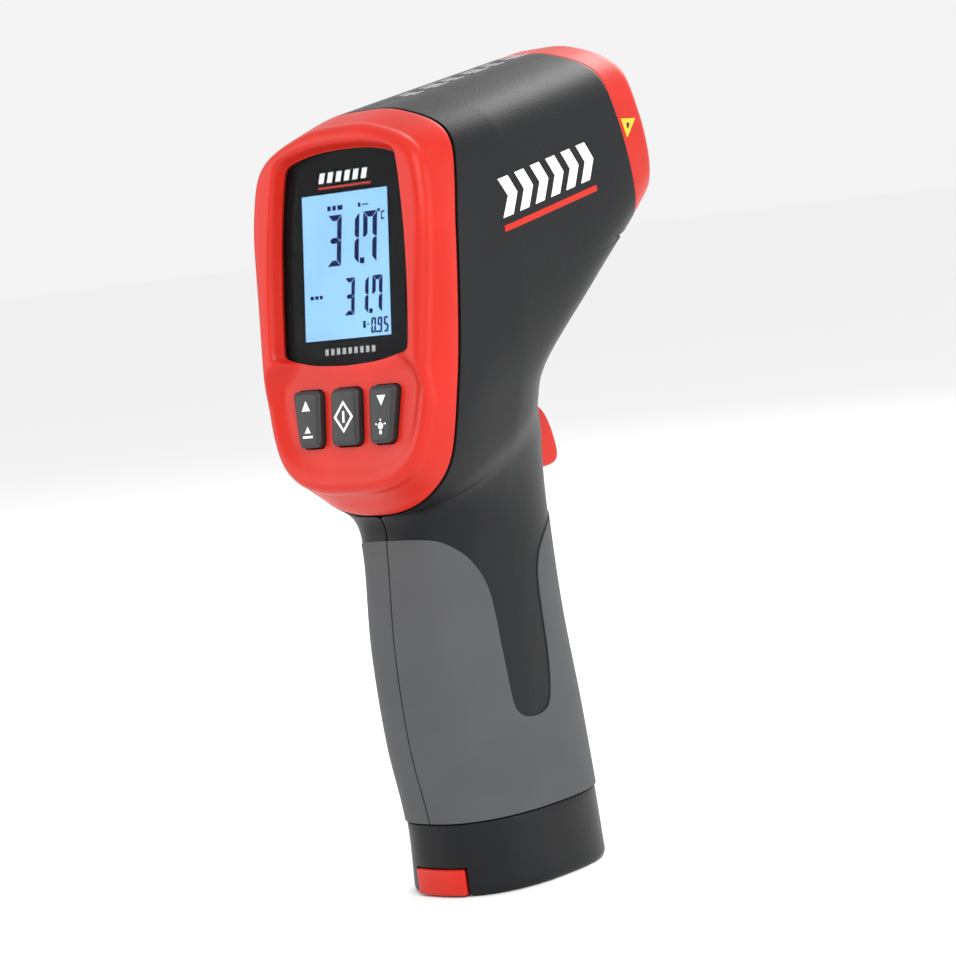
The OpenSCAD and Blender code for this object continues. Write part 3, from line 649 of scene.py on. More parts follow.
class THERMO_OT_grips(bpy.types.Operator):
    """Models the soft grips as skins with a charcoal tongue left between them"""

    bl_idname = "thermo.grips"
    bl_label = "Add grips"

    def execute(self, context):
        size = sizes()
        points = shell_points(*GRIP_SPAN, *GRIP_MESH, size.grip_proud / MM, full=True)
        points[..., 0] = np.maximum(points[..., 0], 0) + size.seam / MM
        right = sheet("right_grip_skin", points)
        modify(right, "SOLIDIFY", thickness=GRIP_THICKNESS, offset=-1)
        edge = smooth_line(GRIP_EDGE, 5)
        outline = np.concatenate([edge, [(46, GRIP_LOW), (-46, GRIP_LOW)]])
        boolean(right, prism("grip_tool", outline, side_place, 0.02, 40), "INTERSECT")
        soften(right, size.edge, 2, 55)
        left = mirrored(right, "left_grip_skin")
        screw_holes(left)
        for obj, node in ((right, "right_grip"), (left, "left_grip")):
            finish_piece(obj, "root", grip_material(), [node], 38)
        return {"FINISHED"}


# ---- bezel

# Heights up the face: the window's ends, and the centre that the bezel's angles turn about
WINDOW_TOP, WINDOW_BOTTOM = 24.6, -23.6
CENTRE_V = -8.0
# Angles in degrees between which the plain rim round the keys turns into the window's hood
HOOD_STARTS, HOOD_FULL = -47, -35
# Radius of the bezel's crest and how far its side wall leans in, plain and under the hood
CREST_PLAIN, CREST_HOOD = 2.6, 3.0
LEAN_PLAIN, LEAN_HOOD = 1.7, 2.2
RIM_HEIGHT = 0.8


def window_outline(count=600):
    """Right half of the window opening, from its bottom middle to its top middle."""
    corner = [(0, WINDOW_BOTTOM), (9, -23.1), (15.5, -21.9), (18.2, -21), (19.1, -19.6), (19.2, -14)]
    side = [(19.2, -6), (19, 4), (18.4, 13), (17.7, 19), (17.1, 21.2), (16, 22.3)]
    arch = [(12.5, 23.4), (7, 24.3), (0, WINDOW_TOP)]
    line = smooth_line(corner + side + arch, 60)
    return line[:, 0], line[:, 1]


def polar(x, v, angles):
    """Distance from the centre to an outline, at each angle."""
    around = np.arctan2(v - CENTRE_V, x)
    far = np.hypot(x, v - CENTRE_V)
    order = np.argsort(around)
    return np.interp(angles, around[order], far[order])


def ease(value, low, high):
    f = np.clip((value - low) / (high - low), 0, 1)
    return f * f * (3 - 2 * f)


def bezel_depth_at(angles):
    """Depth of the edge that meets the housings, from the face plane, for each angle."""
    t = np.concatenate([np.linspace(4, 7, 1500), np.linspace(7, TOP, 2500)[1:]])
    s = slice_at(t)
    w = parting_w(s)
    place = form_point(s, w)[w > -1]
    x = place[:, 0]
    through, up = plane_axes(FACE)
    dy, dz = place[:, 1] - FACE_Y, place[:, 2] - FACE_Z
    depth = dy * through[0] + dz * through[1]
    height = dy * up[0] + dz * up[1]
    around = np.arctan2(height - CENTRE_V, x)
    order = np.argsort(around)
    return np.interp(angles, around[order], depth[order])


def bezel_points(hood, wall, count=150):
    """Rings of the bezel: out along its side wall, over its crest and in to the window."""
    wx, wv = window_outline()
    ox, ov = outline_on(FACE, 0)
    full = np.linspace(-math.pi / 2, math.pi / 2, 2400)
    outer, inner = polar(ox, ov, full), polar(wx, wv, full)
    inner_line = (inner * np.cos(full), inner * np.sin(full))
    step = np.hypot(np.diff(inner_line[0]), np.diff(inner_line[1]))
    bias = np.concatenate([[0], np.cumsum(step)])
    bias /= bias[-1]
    places = spread(outer * np.cos(full), outer * np.sin(full), count + 1, bias)
    angles = np.interp(places, np.arange(len(full)), full)
    window = polar(wx, wv, angles)
    depths = np.linspace(-3.4, 14, 88)
    table = np.array([polar(*outline_on(FACE, d), angles) for d in depths])

    hooded = ease(angles, math.radians(HOOD_STARTS), math.radians(HOOD_FULL))
    end = bezel_depth_at(angles) - GAP

    def reach_at(depth):
        lean = LEAN_PLAIN + (LEAN_HOOD - LEAN_PLAIN) * hooded
        drawn = lean * np.clip((end - depth) / (end + 2.8), 0, 1) ** 1.4
        f = np.clip((depth - depths[0]) / (depths[1] - depths[0]), 0, len(depths) - 1.001)
        i = f.astype(int)
        k = np.arange(len(angles))
        return table[i, k] * (1 - (f - i)) + table[i + 1, k] * (f - i) - drawn

    high = hood * hooded + RIM_HEIGHT * (1 - hooded)
    crest = CREST_HOOD * hooded + CREST_PLAIN * (1 - hooded)
    rings = []

    def ring(far, depth):
        rings.append((far, depth))

    ring(reach_at(end) - 1.4, end - 0.02)
    ring(reach_at(end) - 0.45, end)
    ring(reach_at(end - 0.1) - 0.12, end - 0.1)
    for f in np.linspace(0, 1, 15):
        depth = end - 0.42 + (-high + crest - end + 0.42) * f
        ring(reach_at(depth), depth)
    turn_from = reach_at(-high + crest)
    for f in np.linspace(0, math.pi / 2, 9)[1:]:
        ring(turn_from - crest * (1 - np.cos(f)), -high + crest * (1 - np.sin(f)))
    shoulder = turn_from - crest
    lip = window + 0.6 + 1.5 * hooded
    for f in np.linspace(0, 1, 14)[1:]:
        far = shoulder + (lip - shoulder) * f
        # Under the keys the panel is dished inside its ridge
        dish = -RIM_HEIGHT + 1.15 * ease(shoulder - far, 0.2, 4.2) - 0.3 * ease(far - lip, 3.5, 0)
        ring(far, hooded * (-high) + (1 - hooded) * dish)
    for f, drop in ((0.2, 0.04), (0.4, 0.16), (0.62, 0.45), (0.82, 0.82), (0.93, 0.98), (1, 1)):
        far = lip + (window - lip) * f
        start = hooded * (-high) + (1 - hooded) * 0.05
        ring(far, start + (0.06 - start) * drop)
    ring(window + 0.02, np.full(len(angles), 0.9))
    ring(window + 0.8, np.full(len(angles), 1.4))
    ring(np.maximum(window + 1.2, reach_at(end) - wall - 4), np.full(len(angles), 2.2))
    ring(reach_at(end) - wall, end - 0.9)
    ring(reach_at(end) - wall + 0.1, end - 0.1)
    ring(reach_at(end) - 1.4, end - 0.02)
    half = []
    for far, depth in rings:
        x = far * np.cos(angles)
        x[0] = 0
        x[-1] = 0
        half.append(on_plane(FACE, x, CENTRE_V + far * np.sin(angles), depth))
    return both_sides(half)


# Each key: middle, and how far its lower end draws in towards the middle key
KEYS = {"left": (-11.5, 1), "middle": (0, 0), "right": (11.5, -1)}
KEY_V = -35
KEY_W, KEY_H = 8.2, 12.8
KEY_CROWN_WIDTH, KEY_CROWN_HEIGHT = 0.0009, 0.00055


def key_outline(x, drawn, grow=0.0, steps=7):
    """A rounded quadrilateral, narrower below on the side away from the middle."""
    half, tall, radius = KEY_W / 2 + grow, KEY_H / 2 + grow, 1.5 + grow
    corners = [(half, -tall), (half, tall), (-half, tall), (-half, -tall)]
    out = []
    for k, (cx, cy) in enumerate(corners):
        for f in np.linspace(0, math.pi / 2, steps):
            a = -math.pi / 2 + k * math.pi / 2 + f
            px = cx - math.copysign(radius, cx) + radius * math.cos(a)
            py = cy - math.copysign(radius, cy) + radius * math.sin(a)
            down = (tall - py) / (2 * tall)
            outside = 0.5 - drawn * px / (2 * half) if drawn else 0
            out.append((x + px + drawn * outside * down * 1.8, KEY_V + py))
    return out


def face_place(a, b, depth):
    return on_plane(FACE, a, b, depth)


class THERMO_OT_bezel(bpy.types.Operator):
    """Models the bezel with its hood, its dished key panel and the key holes"""

    bl_idname = "thermo.bezel"
    bl_label = "Add bezel"

    def execute(self, context):
        size = sizes()
        obj = sheet("bezel_shell", bezel_points(size.hood / MM, size.wall / MM), closed=True)
        for name, (x, drawn) in KEYS.items():
            hole = key_outline(x, drawn, 0.3)
            boolean(obj, prism("key_hole_tool", hole, face_place, -3, 6))
        finish_piece(obj, "root", trim_material(), ["bezel"], 40)
        return {"FINISHED"}


# ---- display

GLASS_DEPTH, GLASS_THICKNESS = 0.12, 0.6
SCREEN_W, SCREEN_H, SCREEN_V = 25.6, 32.6, -1.2
PRINT_DEPTH = 0.86
# Small signs on the display: left, top, right and bottom as shares of the screen
SIGNS = [
    (0.885, 0.14, 0.912, 0.162), (0.3, 0.085, 0.34, 0.118), (0.36, 0.085, 0.4, 0.118),
    (0.42, 0.085, 0.48, 0.118), (0.66, 0.085, 0.69, 0.115), (0.71, 0.097, 0.78, 0.106),
    (0.07, 0.69, 0.11, 0.715), (0.125, 0.69, 0.165, 0.715), (0.18, 0.69, 0.215, 0.715),
    (0.68, 0.892, 0.71, 0.94), (0.725, 0.912, 0.75, 0.92),
]
SEGMENTS = {
    "0": "abcdef",
    "1": "bc",
    "3": "abcdg",
    "5": "acdfg",
    "7": "abcf",
    "9": "abcdfg",
    "C": "adef",
}


def segment_shapes(letters, w, h, thick):
    """Mitred bars of one seven-segment figure, from its lower left corner."""
    t, g = thick, thick * 0.09
    m, r = h / 2, t / 2
    bars = {
        "a": [(g, h), (w - g, h), (w - t - g, h - t), (t + g, h - t)],
        "d": [(t + g, t), (w - t - g, t), (w - g, 0), (g, 0)],
        "b": [(w, h - g), (w, m + g), (w - r, m + g), (w - t, m + r + g), (w - t, h - t - g)],
        "c": [(w, m - g), (w, g), (w - t, t + g), (w - t, m - r - g), (w - r, m - g)],
        "f": [(0, m + g), (0, h - g), (t, h - t - g), (t, m + r + g), (r, m + g)],
        "e": [(0, g), (0, m - g), (r, m - g), (t, m - r - g), (t, t + g)],
        "g": [(r, m), (t, m + r), (w - t, m + r), (w - r, m), (w - t, m - r), (t, m - r)],
    }
    return [bars[k] for k in letters]


def figures(text, x, v, w, h, pitch, thick, lean=0.06):
    """Plates for a line of seven-segment figures whose lower left corner is at x, v."""
    out = []
    for character in text:
        if character == ".":
            at = x - pitch + w + 0.32 * thick
            box = [(0, 0), (thick, 0), (thick, thick), (0, thick)]
            out.append([(at + a, v + b) for a, b in box])
            continue
        for bar in segment_shapes(SEGMENTS[character], w, h, thick):
            out.append([(x + a + lean * b, v + b) for a, b in bar])
        x += pitch
    return out


def plates(name, outlines, low, high):
    """Thin plates on the display face, joined into one piece."""
    return join(name, [prism(name, o, face_place, low, high) for o in outlines])


def screen_box(left, top, right, bottom):
    """A box given by shares of the screen from its top left corner."""
    x0, x1 = SCREEN_W * (left - 0.5), SCREEN_W * (right - 0.5)
    v0, v1 = SCREEN_V + SCREEN_H * (0.5 - bottom), SCREEN_V + SCREEN_H * (0.5 - top)
    return [(x0, v0), (x1, v0), (x1, v1), (x0, v1)]


def mirrored_outline(x, v):
    line = list(zip(x, v))
    return line + [(-a, b) for a, b in line[-2:0:-1]]


class THERMO_OT_display(bpy.types.Operator):
    """Models the window, its printed mask and the lit display with its figures"""

    bl_idname = "thermo.display"
    bl_label = "Add display"

    def execute(self, context):
        wx, wv = window_outline()
        places = spread(wx, wv, 70)
        wx, wv = pick(wx, places) + 0.0, pick(wv, places)
        grow = 1 + 0.7 / 20
        outline = mirrored_outline(wx * grow, wv * grow)
        glass = prism("window_glass", outline, face_place, GLASS_DEPTH, GLASS_DEPTH + GLASS_THICKNESS)
        soften(glass, 0.00012, 2)
        clear = glass_material("window_glass", (0.93, 0.95, 0.96))
        finish_piece(glass, "root", clear, ["display_window"])
        mask = prism("window_print", outline, face_place, PRINT_DEPTH, PRINT_DEPTH + 0.5)
        black = surface("black_print", (0.003, 0.003, 0.0035), 0.3, 0.05, 1500, Specular_IOR_Level=0.04)
        finish_piece(mask, "root", black, ["window_mask"])
        whole = screen_box(0, 0, 1, 1)
        screen = prism("lcd_face", whole, face_place, PRINT_DEPTH - 0.04, PRINT_DEPTH + 0.3)
        lit = glow_material("lcd_backlit", tuple(colours().display), 0.42)
        finish_piece(screen, "root", lit)
        shapes = figures("31.7", -5.6, SCREEN_V, 4.1, 11.4, 5.3, 1.3)
        shapes += figures("31.7", -0.9, SCREEN_V - 11.2, 3.0, 8.3, 4.1, 1.02)
        shapes += figures("0.95", 6.9, SCREEN_V - 15.6, 1.4, 3.4, 1.85, 0.5)
        shapes += figures("C", 10.8, SCREEN_V + 9.2, 1.2, 1.9, 1.6, 0.36)
        shapes += [screen_box(*sign) for sign in SIGNS]
        digits = plates("lcd_figures", shapes, PRINT_DEPTH - 0.07, PRINT_DEPTH)
        ink = surface("lcd_segments", tuple(colours().digit), 0.5, 0, Specular_IOR_Level=0.05)
        finish_piece(digits, "root", ink)
        front, back = PRINT_DEPTH - 0.05, PRINT_DEPTH + 0.1
        bars = []
        for k in range(6):
            x = -7.6 + 2.55 * k
            bars.append([(x, 17.6), (x + 1.5, 17.6), (x + 2.05, 19.9), (x + 0.55, 19.9)])
        white = plates("window_mark", bars, front, back)
        finish_piece(white, "root", mark_material())
        line = [(-7.7, 16.3), (8, 16.3), (8.1, 16.75), (-7.6, 16.75)]
        rule = prism("window_rule", line, face_place, front, back)
        finish_piece(rule, "root", trim_material())
        ticks = []
        for k in range(9):
            x = -7 + 1.75 * k
            ticks.append([(x, -20.9), (x + 0.95, -20.9), (x + 0.95, -19.5), (x, -19.5)])
        grey = plates("window_ticks", ticks, front, back)
        finish_piece(grey, "root", grey_material())
        return {"FINISHED"}


# ---- keys


def key_icon(name, x, drawn):
    """White shapes printed on a key: an arrow and a small sign, or a diamond."""
    if name == "middle":
        out, inner = (2.9, 3.6), (2.15, 2.75)
        shapes = []
        for sx, sy in ((1, 1), (-1, 1), (-1, -1), (1, -1)):
            line = [(sx * out[0], 0), (0, sy * out[1]), (0, sy * inner[1]), (sx * inner[0], 0)]
            shapes.append(line[:: int(sx * sy)])
        shapes.append([(-0.3, -1.3), (0.3, -1.3), (0.3, 1.3), (-0.3, 1.3)])
        return [[(x + a, KEY_V + b) for a, b in s] for s in shapes]
    shift = 0.3 * drawn
    flip = 1 if name == "left" else -1
    arrow = [(-1.25, -flip * 1.15), (1.25, -flip * 1.15), (0, flip * 1.15)]
    shapes = [[(x + shift * 0.6 + a, KEY_V + 3.0 + b) for a, b in arrow[::flip]]]
    if name == "left":
        sign = [[(-0.9, -0.2), (0.9, -0.2), (0, 1.3)]]
        sign += [[(-1.5, -1.3), (1.5, -1.3), (1.5, -0.8), (-1.5, -0.8)]]
    else:
        turn = np.linspace(0, 2 * math.pi, 13)[:-1]
        sign = [[(0.75 * math.cos(a), 0.3 + 0.8 * math.sin(a)) for a in turn]]
        sign += [[(-0.35, -1.5), (0.35, -1.5), (0.35, -0.7), (-0.35, -0.7)]]
        ray = ((1.05, 0.16), (1.05, -0.16), (1.6, -0.16), (1.6, 0.16))
        for a in (0.35, 1.57, 2.8):
            c, s = math.cos(a), math.sin(a)
            sign.append([(far * c - side * s, 0.3 + far * s + side * c) for far, side in ray])
    shapes += [[(x + shift * 1.9 + a, KEY_V - 2.9 + b) for a, b in s] for s in sign]
    return shapes


class THERMO_OT_keys(bpy.types.Operator):
    """Models the three keys and the white signs printed on them"""

    bl_idname = "thermo.keys"
    bl_label = "Add keys"

    def execute(self, context):
        rise = sizes().key_rise / MM
        dark = surface("key_rubber", tuple(colours().key), 0.5, 0.3, 1900)
        for name, (x, drawn) in KEYS.items():
            outline = np.array(key_outline(x, drawn))
            cap = prism("key_cap_" + name, outline, face_place, 1.2, -rise)
            make_active(cap)
            with editing():
                bpy.ops.mesh.select_all(action="DESELECT")
            top = min(cap.data.polygons, key=lambda p: p.center.y)
            top.select = True
            with editing():
                bpy.ops.mesh.inset(thickness=KEY_CROWN_WIDTH, depth=0.0)
            through, _ = plane_axes(FACE)
            # The rim of the key's front drops, which leaves its middle as a low crown
            for vertex in cap.data.vertices:
                y, z = vertex.co.y / MM - FACE_Y, vertex.co.z / MM - FACE_Z
                depth = y * through[0] + z * through[1]
                if depth < 0 and not vertex.select:
                    vertex.co.y += KEY_CROWN_HEIGHT * through[0]
                    vertex.co.z += KEY_CROWN_HEIGHT * through[1]
            soften(cap, 0.00035, 3, 20)
            finish_piece(cap, "key_" + name, dark, ["key_" + name], 50)
            shapes = key_icon(name, x, drawn)
            icon = plates("key_sign_" + name, shapes, -rise + 0.1, -rise - 0.03)
            finish_piece(icon, "key_" + name, mark_material())
        return {"FINISHED"}


# ---- nose


def nose_points(rounding, wall, count=110):
    """Rings of the nose ring: forward along the form, round its front edge and back inside."""
    back = -RING_LENGTH
    profile = [(back, wall), (back, 0.35), (back + 0.1, 0.1), (back + 0.35, 0)]
    profile += [(back + (RING_LENGTH - rounding) * f, 0) for f in np.linspace(0.1, 1, 9)]
    for a in np.linspace(0, math.pi / 2, 9)[1:]:
        profile.append((-rounding + rounding * math.sin(a), rounding * (1 - math.cos(a))))
    for a in np.linspace(0, math.pi / 2, 5)[1:]:
        profile.append((-0.7 * (1 - math.cos(a)), rounding + 0.9 + 0.7 * math.sin(a)))
    profile += [(-2.0, rounding + 1.65), (-6, rounding + 1.7), (back, rounding + 1.7), (back, wall)]
    out = []
    for depth, inset in profile:
        x, v = outline_on(NOSE, depth, 6)
        places = spread(x, v, count + 1)
        x, v = pick(x, places), pick(v, places)
        x[0] = x[-1] = 0
        dx, dv = np.gradient(x), np.gradient(v)
        dx[0], dv[0] = 1, 0
        dx[-1], dv[-1] = -1, 0
        long = np.hypot(dx, dv)
        # Inwards is to the left of the way up the right side
        nx, nv = -dv / long, dx / long
        x, v = np.maximum(0, x + inset * nx), v + inset * nv
        x[0] = x[-1] = 0
        out.append(on_plane(NOSE, x, v, depth))
    return both_sides(out)


class THERMO_OT_nose(bpy.types.Operator):
    """Models the red ring round the nose"""

    bl_idname = "thermo.nose"
    bl_label = "Add nose ring"

    def execute(self, context):
        points = nose_points(sizes().nose_rounding / MM, sizes().wall / MM)
        ring = sheet("nose_ring_shell", points, closed=True)
        finish_piece(ring, "root", trim_material(), ["nose_ring"], 40)
        return {"FINISHED"}


# ---- marks

PRINT_THICKNESS = 0.00012


def side_patch(name, corners, lift, steps=10):
    """A quadrilateral of the side, given by its corners in y and z, laid on the body."""
    c = np.array(corners, float)
    u = np.linspace(0, 1, steps)[:, None, None]
    v = np.linspace(0, 1, steps)[None, :, None]
    flat = (1 - u) * (1 - v) * c[0] + u * (1 - v) * c[1] + u * v * c[2] + (1 - u) * v * c[3]
    x = side_x(flat[..., 0], flat[..., 1]) + lift
    obj = sheet(name, np.concatenate([x[..., None], flat], 2))
    return modify(obj, "SOLIDIFY", thickness=PRINT_THICKNESS, offset=-1)


MARK_Y, MARK_Z, MARK_H = -8.8, 150.8, 8.7
MARK_SLOPE = math.tan(math.radians(10.3))
# The side marks clear the shell, which stands out by the seam
MARK_LIFT = 0.31


def mark_place(a, b):
    """Place of the side mark's own drawing on the side: it climbs with the barrel."""
    return MARK_Y + a, MARK_Z + b + a * MARK_SLOPE


class THERMO_OT_marks(bpy.types.Operator):
    """Lays generic marks on the sides and the top, and the yellow triangles by the nose"""

    bl_idname = "thermo.marks"
    bl_label = "Add marks"

    def execute(self, context):
        right = []
        for k in range(6):
            a, wide, point = 6.3 * k, 3.6, 2.6
            half = MARK_H / 2
            for low, high in (((a, 0), (a + point, half)), ((a, MARK_H), (a + point, half))):
                line = [low, (low[0] + wide, low[1]), (high[0] + wide, high[1]), high]
                corners = [mark_place(*q) for q in line]
                if low[1] > 0:
                    corners = [corners[3], corners[2], corners[1], corners[0]]
                right.append(side_patch("side_mark_right", corners, MARK_LIFT))
        mark = join("side_mark_right", right)
        finish_piece(mark, "root", mark_material(), ["side_badges"])
        rule = [mark_place(*q) for q in ((0, -3.1), (37.5, -3.1), (37.5, -1.7), (0, -1.7))]
        line = side_patch("side_rule_right", rule, MARK_LIFT, 24)
        finish_piece(line, "root", trim_material())
        yellow = plastic("yellow_print", (0.83, 0.5, 0.012), 0.45, 0.1)
        triangle = [(43.3, 170.6), (49.2, 170.5), (44.6, 166.2), (44.3, 166.4)]
        sticker = side_patch("warning_triangle_right", triangle[::-1], 0.1, 8)
        finish_piece(sticker, "root", yellow, ["marker_triangles"])
        sign = [(45.2, 169.6), (46.4, 169.5), (45.4, 168.1), (44.9, 168.6)]
        spot = side_patch("triangle_sign_right", sign[::-1], 0.16, 4)
        finish_piece(spot, "root", plastic("dark_print", (0.01, 0.01, 0.01), 0.5, 0))
        for obj, slot in ((mark, "print"), (line, "print"), (sticker, "marker"), (spot, "print")):
            twin = mirrored(obj, obj.name.replace("right", "left"))
            for key in [k for k in twin.keys() if k.startswith("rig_")]:
                del twin[key]
            twin.parent = None
            finish_piece(twin, "root", obj.data.materials[0])
        strips = []
        for x, wide in ((3.1, 0.9), (0.6, 1.5), (-2.2, 0.8)):
            for k in range(6):
                y = -4 + 7.6 * k + (1.5 if x < 0 else 0)
                long = 5.2 if k % 2 else 3.6
                u = np.linspace(0, 1, 10)[:, None]
                v = np.linspace(0, 1, 5)[None, :]
                px, py = x + wide * (u - 0.5) + 0 * v, y + long * v + 0 * u
                strip = sheet("top_print", top_point(px, py, 0.1))
                strips.append(modify(strip, "SOLIDIFY", thickness=PRINT_THICKNESS, offset=-1))
        top = join("top_print", strips)
        finish_piece(top, "root", grey_material(), ["top_label"])
        return {"FINISHED"}


# ---- trigger, cap, latch

PIVOT_Y, PIVOT_Z = 13.5, 107
TRIGGER_HALF = 6.5
# The trigger from its side, as y and z from the pin: back, foot, front and top
TRIGGER_EDGE = [
    (-3.5, 0), (-3.5, -14), (-1, -15.6), (6, -15.1), (12, -14.8), (14.6, -13.9), (15.3, -12),
    (15, -9.5), (13.6, -5), (11.5, -1.6), (8, 0.8), (4, 2.1), (0, 2.3),
]


class THERMO_OT_trigger(bpy.types.Operator):
    """Models the trigger"""

    bl_idname = "thermo.trigger"
    bl_label = "Add trigger"

    def execute(self, context):
        outline = smooth_line(TRIGGER_EDGE, 4, closed=True) + (PIVOT_Y, PIVOT_Z)
        obj = prism("trigger_blade", outline, side_place, -TRIGGER_HALF, TRIGGER_HALF)
        soften(obj, 0.0016, 5, 60)
        finish_piece(obj, "trigger", trim_material(), ["trigger"], 50)
        return {"FINISHED"}


CAP_CENTRE_INSET = 16.6
LATCH_HALF, LATCH_LOW, LATCH_HIGH = 7.2, 0.5, 6.4
LATCH_PROUD, LATCH_THICKNESS = 0.7, 0.0024
# The latch's pocket in the cap: half width, lowest z, highest z and its inner end in y
POCKET = (LATCH_HALF + 0.3, -4, LATCH_HIGH + 0.4, -19.5)
# The catch on the latch: half width, z from, z to, y from, y to
CATCH = (3.8, 3.3, 21, -21.7, -19.85)


def rear_place(a, b, depth):
    """A drawing place that looks along +Y: a is X, b is Z and depth is Y."""
    return np.stack([a, depth, b], -1)


class THERMO_OT_cap(bpy.types.Operator):
    """Models the battery cap with its latch pocket"""

    bl_idname = "thermo.cap"
    bl_label = "Add battery cap"

    def execute(self, context):
        wall = sizes().wall / MM
        high = CAP_HEIGHT - GAP
        profile = [(high - 0.3, wall), (high, wall - 0.2), (high, 0.3), (high - 0.1, 0.08)]
        profile += [(high - 0.35, 0)]
        profile += [(z, 0) for z in np.linspace(high - 2, 1.6, 12)]
        profile += [(1.0, 0.1), (0.5, 0.4), (0.15, 0.8), (0, 1.4), (0, 4), (0, CAP_CENTRE_INSET)]
        profile += [(2.2, CAP_CENTRE_INSET), (2.2, 4), (2.4, wall + 0.2), (high / 2, wall)]
        profile += [(high - 0.3, wall)]
        count = 90
        turn = np.linspace(0, math.pi, count)
        out = []
        for z, inset in profile:
            s = slice_at(z / CAP_HEIGHT)
            n = s[0, 5]
            c = np.cos(turn)
            w = -np.sign(c) * np.abs(c) ** (2 / n)
            p = form_point(np.repeat(s, count, 0), w)
            (my, _), (deep, _) = spine(s[0])
            p[:, 0] *= max(0, 1 - inset / s[0, 4])
            p[:, 1] = my + (p[:, 1] - my) * (1 - inset / deep)
            p[:, 2] = z
            out.append(p)
        obj = sheet("battery_cap_shell", both_sides(out), closed=True)
        half, low, top, end = POCKET
        pocket = [(-half, low), (half, low), (half, top), (-half, top)]
        boolean(obj, prism("pocket_tool", pocket, rear_place, -40, end))
        finish_piece(obj, "cap", housing_material(), ["battery_cap"], 40)
        return {"FINISHED"}


class THERMO_OT_latch(bpy.types.Operator):
    """Models the latch button at the rear of the base"""

    bl_idname = "thermo.latch"
    bl_label = "Add latch button"

    def execute(self, context):
        rows, cols = 30, 14
        x = np.linspace(-LATCH_HALF, LATCH_HALF, rows)[:, None]
        z = np.linspace(LATCH_LOW, LATCH_HIGH, cols)[None, :]
        s = slice_at(z[0] / CAP_HEIGHT)
        y = np.zeros((rows, cols))
        for j in range(cols):
            wide, n = s[j, 4], s[j, 5]
            w = -np.maximum(0, 1 - np.abs(x[:, 0] / wide) ** n) ** (1 / n)
            y[:, j] = (s[j, 0] + s[j, 2]) / 2 + w * (s[j, 2] - s[j, 0]) / 2 - LATCH_PROUD
        points = np.stack([x + 0 * z, y, z + 0 * x], -1)
        obj = sheet("latch_face", points)
        modify(obj, "SOLIDIFY", thickness=LATCH_THICKNESS, offset=-1)
        soften(obj, 0.0006, 4, 50)
        finish_piece(obj, "latch", trim_material(), ["latch_button"], 50)
        half, low, high, y0, y1 = CATCH
        stem = [(-half, low), (half, low), (half, high), (-half, high)]
        catch = prism("latch_catch", stem, rear_place, y0, y1)
        soften(catch, 0.0003, 2)
        finish_piece(catch, "latch", trim_material(), ["latch_button"])
        return {"FINISHED"}


# ---- carried-over nodes


# Where each spring starts, as x, y and z, and how long it is at rest
TRIGGER_SPRING, TRIGGER_SPRING_LENGTH = (3.4, 3.2, 98), 6.7
LATCH_SPRING, LATCH_SPRING_LENGTH = (0, -19.7, 11), 4


def coil(name, start, long, turns, radius=2, wire=0.3, around=10):
    """A spring that winds along +Y from its start point, with closed wire ends."""
    share = np.linspace(0, 1, turns * 20 + 1)[:, None]
    turn = share * turns * 2 * math.pi
    lap = np.linspace(0, 2 * math.pi, around + 1)[None, :]
    thick = np.full(share.shape, float(wire))
    thick[[0, -1]] = 0
    reached = radius + thick * np.cos(lap)
    x = start[0] + reached * np.cos(turn)
    y = start[1] + wire + share * (long - 2 * wire) + thick * np.sin(lap)
    z = start[2] + reached * np.sin(turn)
    return sheet(name, np.stack([x, y, z], -1), closed=True)


